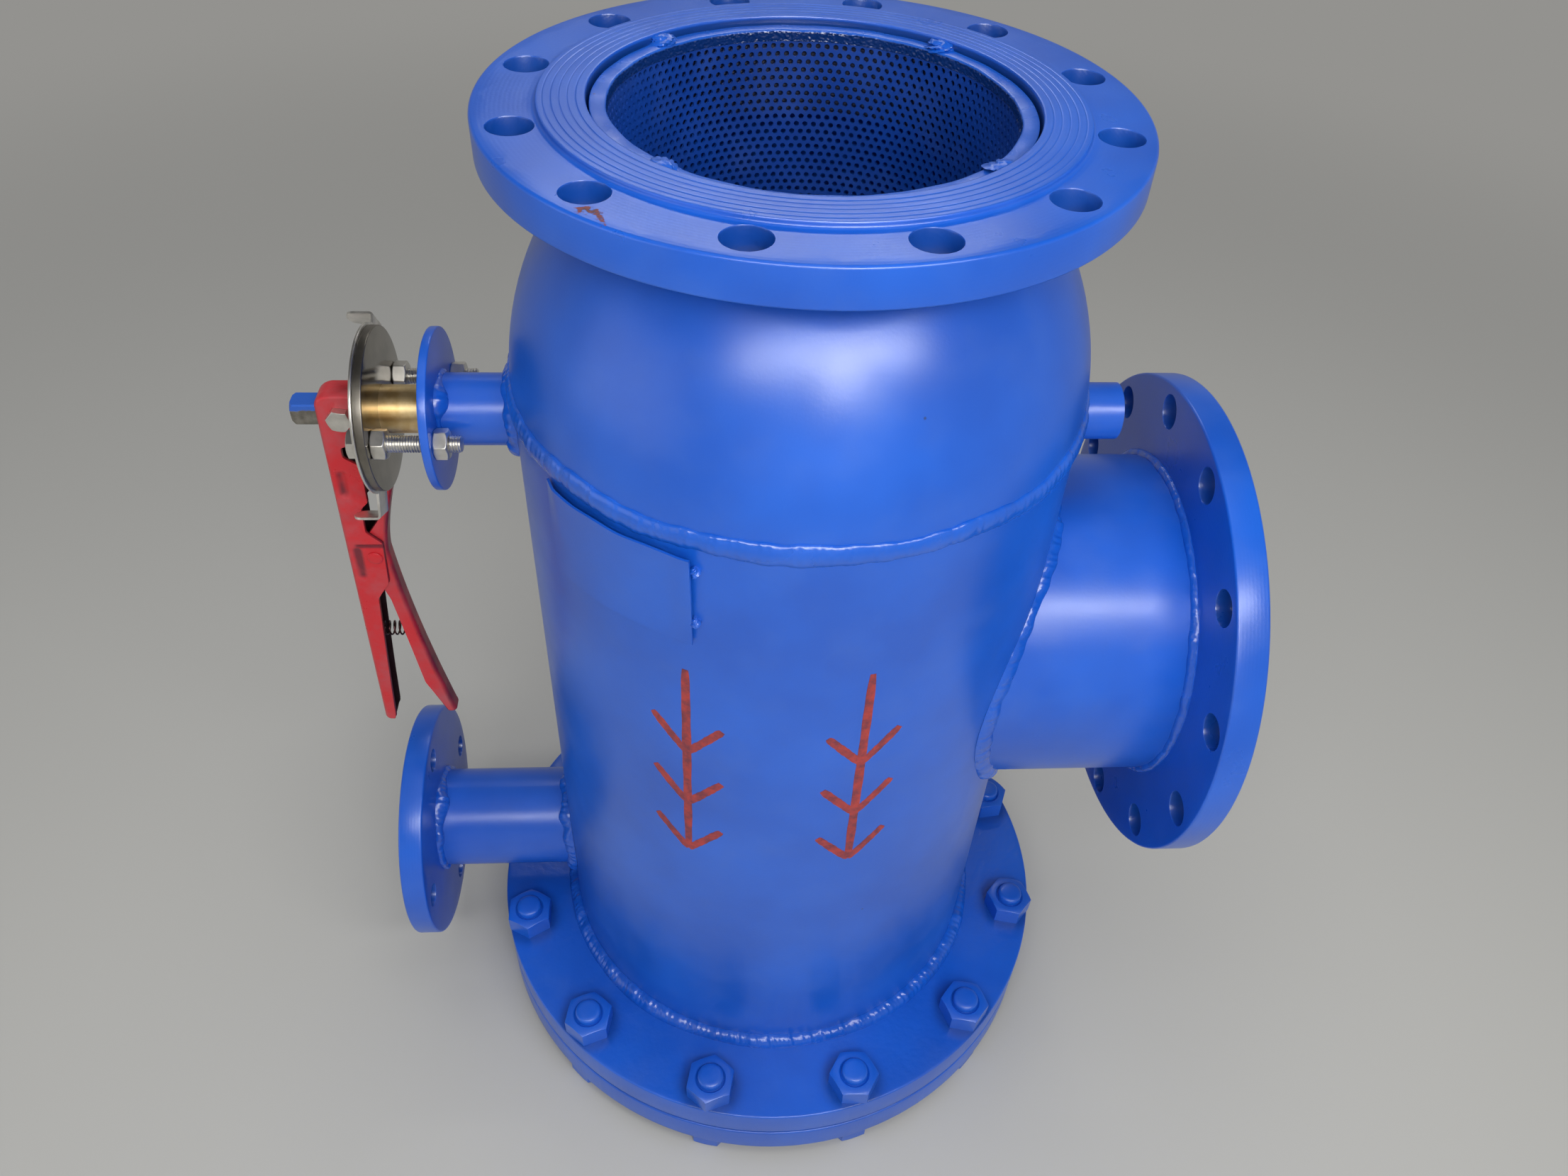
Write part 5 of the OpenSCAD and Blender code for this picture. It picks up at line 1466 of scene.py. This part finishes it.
print("pocket", POCKET_DEEP, "mm deep, border", BORDER_DEEP, "mm")

# %% [markdown]
# The lever's wall edge follows its outline: deep at the hub, a notch that clears the stop plate's tongue,
# deep again, then ears for the trigger's pivot, and a long taper to a rounded end. Rows lie closer
# together at the hub and at the foot, where the ends are rounded.

# %% Lever
LEVER_BACK, LEVER_LEAN = -276.0, np.tan(np.radians(2.1))
LEVER_LEN, HUB_RISE, HUB_ROUND, FOOT_ROUND = 266.0, 14.0, 8.0, 4.0
HUB_TUCK, FOOT_TUCK, LEVER_BEND_R = 1.2, 2.0, 3.2
HUB_FINE, FOOT_FINE = 4, 8
EDGE_S = [-14, 18, 21.5, 29, 35, 63, 68, 87, 96, 130, 144, 175, 231, 262, 266]
EDGE_D = [24, 24, 10.7, 10.7, 19.7, 19.7, 15, 14.6, 23.5, 22.5, 14, 12.3, 9.5, 8.2, 6.6]
hub_end, foot_start = -HUB_RISE + HUB_FINE, LEVER_LEN - FOOT_FINE
lever_s = np.concatenate([np.linspace(-HUB_RISE, hub_end, 14), np.linspace(hub_end + 0.5, foot_start, 380),
                          np.linspace(foot_start + 0.5, LEVER_LEN, 16)])
edge = eased(np.interp(lever_s, EDGE_S, EDGE_D))
foot_past = np.clip(lever_s - (LEVER_LEN - FOOT_ROUND), 0, FOOT_ROUND)
back = arc_drop(HUB_ROUND - HUB_RISE - lever_s, HUB_ROUND) + FOOT_ROUND
back = back - np.sqrt(FOOT_ROUND ** 2 - foot_past ** 2 * 0.95)
tuck = (arc_drop(HUB_TUCK - HUB_RISE - lever_s, HUB_TUCK)
        + arc_drop(lever_s - LEVER_LEN + FOOT_TUCK, FOOT_TUCK))
depth, across, inside = pressed_channel(lever_s, back, edge - tuck, LEVER_HALF - tuck, LEVER_BEND_R,
                                        (-HUB_RISE + 2, LEVER_LEN - 4), hub_hollow, border_dent)
# Painted shade in the hollows of the outer skin, and the red a little darker at the back and along the walls'
# edges.
hollow_shade = lever_shade(depth, lever_s[:, None] + 0 * depth) * (1 - inside)
shade_and_edge_share = smooth_step(3.5, 0.5, depth) * 0.15 + smooth_step(1.2, 0.2, edge[:, None] - depth) * 0.4 + hollow_shade
depth, across, inside, shade_and_edge_share = (capped(values) for values in (depth, across, inside, shade_and_edge_share))
rows_s = np.pad(lever_s, 1, mode="edge")[:, None]
lever_points = np.stack([LEVER_BACK + depth - LEVER_LEAN * rows_s, across, SHAFT_Z - rows_s + 0 * depth], -1)
add_piece("pressed_lever", (lever_points, grid_quads(*depth.shape)), red_dip, "diverter",
          stands_for=("lever",), marks={"inside": inside, "shade_and_dark_edges": shade_and_edge_share}, crease=50)

# %% [markdown]
# The trigger is the same kind of channel, open towards the lever. Its back follows two quadratic curves,
# from the tip over the waist at the pivot to the foot, and its walls reach forward to the pivot.

# %% Trigger
PIVOT = middle("pivot_rivet")[[0, 2]]
TIP, WAIST, FOOT = np.array([20.0, 55.0]), np.array([8.0, 2.0]), np.array([27.5, -148.0])
TIP_PULL, FOOT_PULL = np.array([9.0, 20.0]), np.array([11.0, -60.0])
FRONT_S = [-55, -37, -18, -8, 10, 39, 78, 121, 150, 154]
FRONT_X = [15.5, 11.7, -1.4, -7, -7, 1.6, 6, 10.5, 21.5, 23.5]
TRIGGER_HALF, TRIGGER_BEND_R = high("trigger")[1], 3.0
TIP_TUCK, TRIGGER_TUCK = 2.5, 3.5
TRIGGER_FROM, TRIGGER_TO = FRONT_S[0], FRONT_S[-1]


def quadratic(a, b, c, t):
    """Quadratic curve from a to c, pulled towards b."""
    return (1 - t) ** 2 * a + 2 * t * (1 - t) * b + t ** 2 * c


t = np.linspace(0, 1, 60)[:, None]
spine = np.concatenate([quadratic(TIP, TIP_PULL, WAIST, t), quadratic(WAIST, FOOT_PULL, FOOT, t)[1:],
                        [FOOT + [1.4, -6]]])
trigger_s = np.concatenate([np.linspace(TRIGGER_FROM, TRIGGER_FROM + 3, 10),
                            np.linspace(TRIGGER_FROM + 3.5, TRIGGER_TO - 4, 260),
                            np.linspace(TRIGGER_TO - 3.6, TRIGGER_TO, 12)])
spine_x = np.interp(trigger_s, -spine[:, 1], spine[:, 0])
reach = spine_x - eased(np.interp(trigger_s, FRONT_S, FRONT_X))
tuck = (arc_drop(TRIGGER_FROM + TIP_TUCK - trigger_s, TIP_TUCK)
        + arc_drop(trigger_s - (TRIGGER_TO - TRIGGER_TUCK), TRIGGER_TUCK))
depth, across, inside = pressed_channel(trigger_s, tuck * 0.8, np.maximum(reach - tuck * 0.4, 3.2),
                                        TRIGGER_HALF - tuck * 0.8, TRIGGER_BEND_R,
                                        (TRIGGER_FROM + 1.5, TRIGGER_TO - 4))
# Painted shade on the trigger's back, and the red a little darker along the walls' edges.
shade_and_edge_share = smooth_step(4.0, 0.5, depth) * 0.8 + smooth_step(1.5, 0.2, reach[:, None] - depth) * 0.3
depth, across, inside, shade_and_edge_share = (capped(values) for values in (depth, across, inside, shade_and_edge_share))
rows_s, rows_x = (np.pad(values, 1, mode="edge")[:, None] for values in (trigger_s, spine_x))
trigger_points = np.stack([PIVOT[0] + rows_x - depth, across, PIVOT[1] - rows_s + 0 * depth], -1)
add_piece("pressed_trigger", (trigger_points, grid_quads(*depth.shape)), red_dip, "trigger",
          stands_for=("trigger",), marks={"inside": inside, "shade_and_dark_edges": shade_and_edge_share}, crease=50)

# %% [markdown]
# The pivot rivet has a low round head on each side, under the same red dip. A head is turned, so a profile
# swept round the rivet's axis gives both.

# %% Rivet
RIVET_R, RIVET_H = 4.7, 1.6
RIVET_ROWS = np.array([[0, RIVET_H], [2.4, RIVET_H - 0.05], [3.9, RIVET_H - 0.25], [RIVET_R, RIVET_H * 0.45],
                       [RIVET_R, -0.5], [0, -0.5]])
rivet_heads = [turned(RIVET_ROWS, FULL_TURN[::4], (PIVOT[0], sign * LEVER_HALF, PIVOT[1]), axis, wrap=False)
               for sign, axis in ((-1, "-y"), (1, "y"))]
add_piece("dipped_pivot_rivet", joined(*rivet_heads), red_dip, "diverter",
          stands_for=("pivot_rivet",))

# %% [markdown]
# The spring is round wire wound on a helix, pressed between the lever's back and the trigger's walls. It
# shortens when the trigger is squeezed, and it gets a mesh of its own.

# %% Spring
SPRING_LOW, SPRING_HIGH = low("trigger_spring"), high("trigger_spring")
SPRING_Z = middle("trigger_spring")[2]
WIRE_R, WIRE_SIDES, TURNS, STEPS_PER_TURN = 0.6, 10, 6, 28
COIL_R = (SPRING_HIGH[1] - SPRING_LOW[1]) / 2 - WIRE_R
share = np.linspace(0, 1, TURNS * STEPS_PER_TURN + 1)[:, None]
side = turn_angles(WIRE_SIDES)[None, :]
wind = 2 * np.pi * TURNS * share
thick = WIRE_R * np.where((share == 0) | (share == 1), 0.0, 1.0)
run_x = SPRING_LOW[0] + WIRE_R + (SPRING_HIGH[0] - SPRING_LOW[0] - 2 * WIRE_R) * share
ring = COIL_R + thick * np.cos(side)
coil = np.stack([run_x + thick * np.sin(side), ring * np.cos(wind), SPRING_Z + ring * np.sin(wind)], -1)
spring = add_piece("wound_trigger_spring", (coil, grid_quads(*coil.shape[:2])), spring_wire,
                   "diverter", stands_for=("trigger_spring",))
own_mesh(spring)

# %% [markdown]
# Two red flow marks are brushed on the shell's front. Their paint is thin and streaky, as from a brush that
# was nearly dry. One noise of a few millimetres gives both the streaks of colour and their relief.

# %% Marking paint
RED_STENCIL_LIGHT, RED_STENCIL_DARK = "#A93B35", "#6F2F3B"
STREAK_MM, FILM_HEIGHT_MM = 7, 0.2

stencil, tree, place = new_finish("brushed_red_marking_paint")
streak = add_node(tree, "TexNoise", {"Scale": per_metre(STREAK_MM), "Detail": 6.0, "Roughness": 0.7,
                                     "Vector": place})
tone = add_node(tree, "ValToRGB", {0: streak}, [(0.38, RED_STENCIL_DARK), (0.62, RED_STENCIL_LIGHT)])
film = add_node(tree, "Bump", {"Strength": 1.0, "Distance": FILM_HEIGHT_MM * MM, "Height": streak})
shaded(tree, {"Base Color": tone, "Normal": film, "Roughness": 0.5})
print(stencil.name, "of", len(tree.nodes), "nodes")

# %% [markdown]
# The marks are arrows that point down, each with three chevrons. They are films of paint that follow the
# shell, so each stroke is a strip along a straight path on the unrolled shell, with a brush's ragged edge.

# %% Painted arrows
BRUSH_WIDE, CHEVRON_DEG, CHEVRON_RISE, CHEVRONS_AT = 5.5, 7.5, 26, (0, 48, 96)
LEFT_TURN, LEFT_TOP, RIGHT_TURN, RIGHT_TOP, ARROW_FOOT = -114, -246, -78, -240, -412
FILM = np.array([[-1, -0.4], [-0.98, 0.1], [-0.5, 0.12], [0.5, 0.12], [0.98, 0.1], [1, -0.4]])


def stroke(turn_from, z_from, turn_to, z_to, seed):
    """Film on the shell: a strip between two points, frayed by waves, a tenth of a millimetre thick."""
    along = np.linspace(0, 1, 40)[:, None]
    a = np.radians(turn_from + (turn_to - turn_from) * along) * SHELL_R
    z = z_from + (z_to - z_from) * along
    step = np.array([a[-1, 0] - a[0, 0], z[-1, 0] - z[0, 0]])
    step = step / np.linalg.norm(step)
    ragged = 1 + 0.07 * wander(along * 6, seed, (1, 3, 7)) - 0.3 * (2 * along - 1) ** 8
    off = BRUSH_WIDE / 2 * ragged * FILM[:, 0]
    turn = (a - off * step[1]) / SHELL_R
    radius = SHELL_R + FILM[:, 1]
    points = capped(np.stack([radius * np.cos(turn), radius * np.sin(turn), z + off * step[0]], -1))
    return points, grid_quads(*points.shape[:2])


def arrow(turn, top, foot, seed):
    """Flow mark down the shell: a shaft and three chevrons, the lowest at its foot."""
    sides = [(sign * CHEVRON_DEG, rise) for rise in CHEVRONS_AT for sign in (-1, 1)]
    chevrons = [stroke(turn + side, foot + rise + CHEVRON_RISE, turn, foot + rise, seed + k)
                for k, (side, rise) in enumerate(sides)]
    return joined(stroke(turn, top, turn, foot, seed + 9), *chevrons)


arrows = joined(arrow(LEFT_TURN, LEFT_TOP, ARROW_FOOT, 70), arrow(RIGHT_TURN, RIGHT_TOP, ARROW_FOOT, 80))
add_piece("flow_marks", arrows, stencil, crease=60)

# %% [markdown]
# The stage is a flat pale floor. Far out it fades into the grey of the backdrop, so that no horizon shows,
# but light that only fills still meets the pale floor. One small function tells the two kinds of ray apart.

# %% Floor
FLOOR_GREY = "#BAB9B4"
BACKDROP_GREY = "#93928F"
FADE_FROM, FADE_TO = 1.1, 2.6
FLOOR_Z = low("base_bolts")[2]
FLOOR_R = np.array([0.0, 0.5, 1, 2, 4, 8, 16, 32]) / MM


def add_seen(tree):
    """One where the eye looks straight, by a mirror or through glass, and zero for light that only fills."""
    ray = add_node(tree, "LightPath")
    mirror = add_node(tree, "Math", {0: ray.outputs["Is Camera Ray"], 1: ray.outputs["Is Glossy Ray"]},
                      operation="MAXIMUM")
    return add_node(tree, "Math", {0: mirror, 1: ray.outputs["Is Transmission Ray"]}, operation="MAXIMUM")


floor_finish, tree, place = new_finish("pale_floor")
pale = add_node(tree, "BsdfPrincipled", {"Base Color": linear(FLOOR_GREY), "Roughness": 0.7})
away = add_node(tree, "VectorMath", {0: place}, operation="LENGTH").outputs["Value"]
far = add_node(tree, "MapRange", {0: away, 1: FADE_FROM, 2: FADE_TO}, interpolation_type="SMOOTHSTEP")
faded = add_node(tree, "Math", {0: far, 1: add_seen(tree)}, operation="MULTIPLY")
backdrop = add_node(tree, "Emission", {"Color": linear(BACKDROP_GREY), "Strength": 1.0})
ground = add_node(tree, "MixShader", {0: faded, 1: pale, 2: backdrop})
add_node(tree, "OutputMaterial", {"Surface": ground})
ground_points, ground_quads = turned(np.stack([FLOOR_R, 0 * FLOOR_R], -1), FULL_TURN[::6], (0, 0, FLOOR_Z),
                                     "z", wrap=False)
floor_mesh = bpy.data.meshes.new("floor")
floor_mesh.from_pydata((ground_points * MM).tolist(), [], ground_quads.tolist())
floor_mesh.materials.append(floor_finish)
floor = bpy.data.objects.new("floor", floor_mesh)
bpy.context.scene.collection.objects.link(floor)
print("floor at", FLOOR_Z, "mm")

# %% [markdown]
# Large soft lamps give the enamel its broad shine. A tube and a window in front and a tube behind draw the
# bright bands in the coat. Wide lamps above and at the sides mostly fill: all but the left one are kept out
# of mirrors, so that the blue stays deep between the bands.

# %% Lamps
VESSEL_MIDDLE = (0, 0, -0.3)


def soft_lamp(name, at, target, size, watts, mirrored=True):
    """Area lamp at a place in metres, facing its target; an unmirrored one only fills."""
    data = bpy.data.lights.new(name, "AREA")
    data.shape = "RECTANGLE"
    data.size, data.size_y = size
    data.energy = watts
    lamp = bpy.data.objects.new(name, data)
    lamp.visible_glossy = mirrored
    back = np.array(at, float) - np.array(target, float)
    back = back / np.linalg.norm(back)
    side = np.cross((0, 1, 0) if abs(back[2]) > 0.95 else (0, 0, 1), back)
    side = side / np.linalg.norm(side)
    place_facing(lamp, side, np.cross(back, side), back, at)


soft_lamp("front_tube_lamp", (0.12, -0.85, 0.50), (0, 0, -0.25), (1.3, 0.15), 8.2)
soft_lamp("window_lamp", (0.29, -1.41, 0.60), (0, 0, -0.1), (0.38, 0.34), 4.4)
soft_lamp("back_tube_lamp", (0.05, 1.35, 0.85), (0, 0, 0), (0.9, 0.12), 2.4)
soft_lamp("ceiling_lamp", (0.0, -0.1, 2.2), VESSEL_MIDDLE, (2.2, 1.6), 26, mirrored=False)
soft_lamp("left_wall_lamp", (-2.4, -0.9, 0.2), VESSEL_MIDDLE, (2.0, 1.6), 7)
soft_lamp("right_wall_lamp", (2.4, -0.9, 0.2), VESSEL_MIDDLE, (2.0, 1.6), 7, mirrored=False)
soft_lamp("front_wall_lamp", (0.0, -3.0, -0.3), VESSEL_MIDDLE, (3.0, 0.8), 20, mirrored=False)
print("lamps:", len(bpy.data.lights))

# %% [markdown]
# What mirrors see above the floor is a grey hall, darker higher up, and an even pale light fills the
# shadows. The Standard view shows each colour about as it was written.

# %% Hall
HIGH_GREY = "#46474A"
FILL_GREY, FILL_STRENGTH = "#DADCE0", 0.3
world = bpy.data.worlds.new("hall")
bpy.context.scene.world = world
world.use_nodes = True
tree = world.node_tree
tree.nodes.clear()
fill = add_node(tree, "Background", {"Color": linear(FILL_GREY), "Strength": FILL_STRENGTH})
way = add_node(tree, "SeparateXYZ", {0: add_node(tree, "TexCoord").outputs["Generated"]}).outputs[2]
rise = add_node(tree, "ValToRGB", {0: way}, [(0.02, BACKDROP_GREY), (0.55, HIGH_GREY)])
behind = add_node(tree, "Background", {"Color": rise, "Strength": 1.0})
sky = add_node(tree, "MixShader", {0: add_seen(tree), 1: fill, 2: behind})
add_node(tree, "OutputWorld", {"Surface": sky})
bpy.context.scene.view_settings.view_transform = "Standard"
print("world:", world.name)
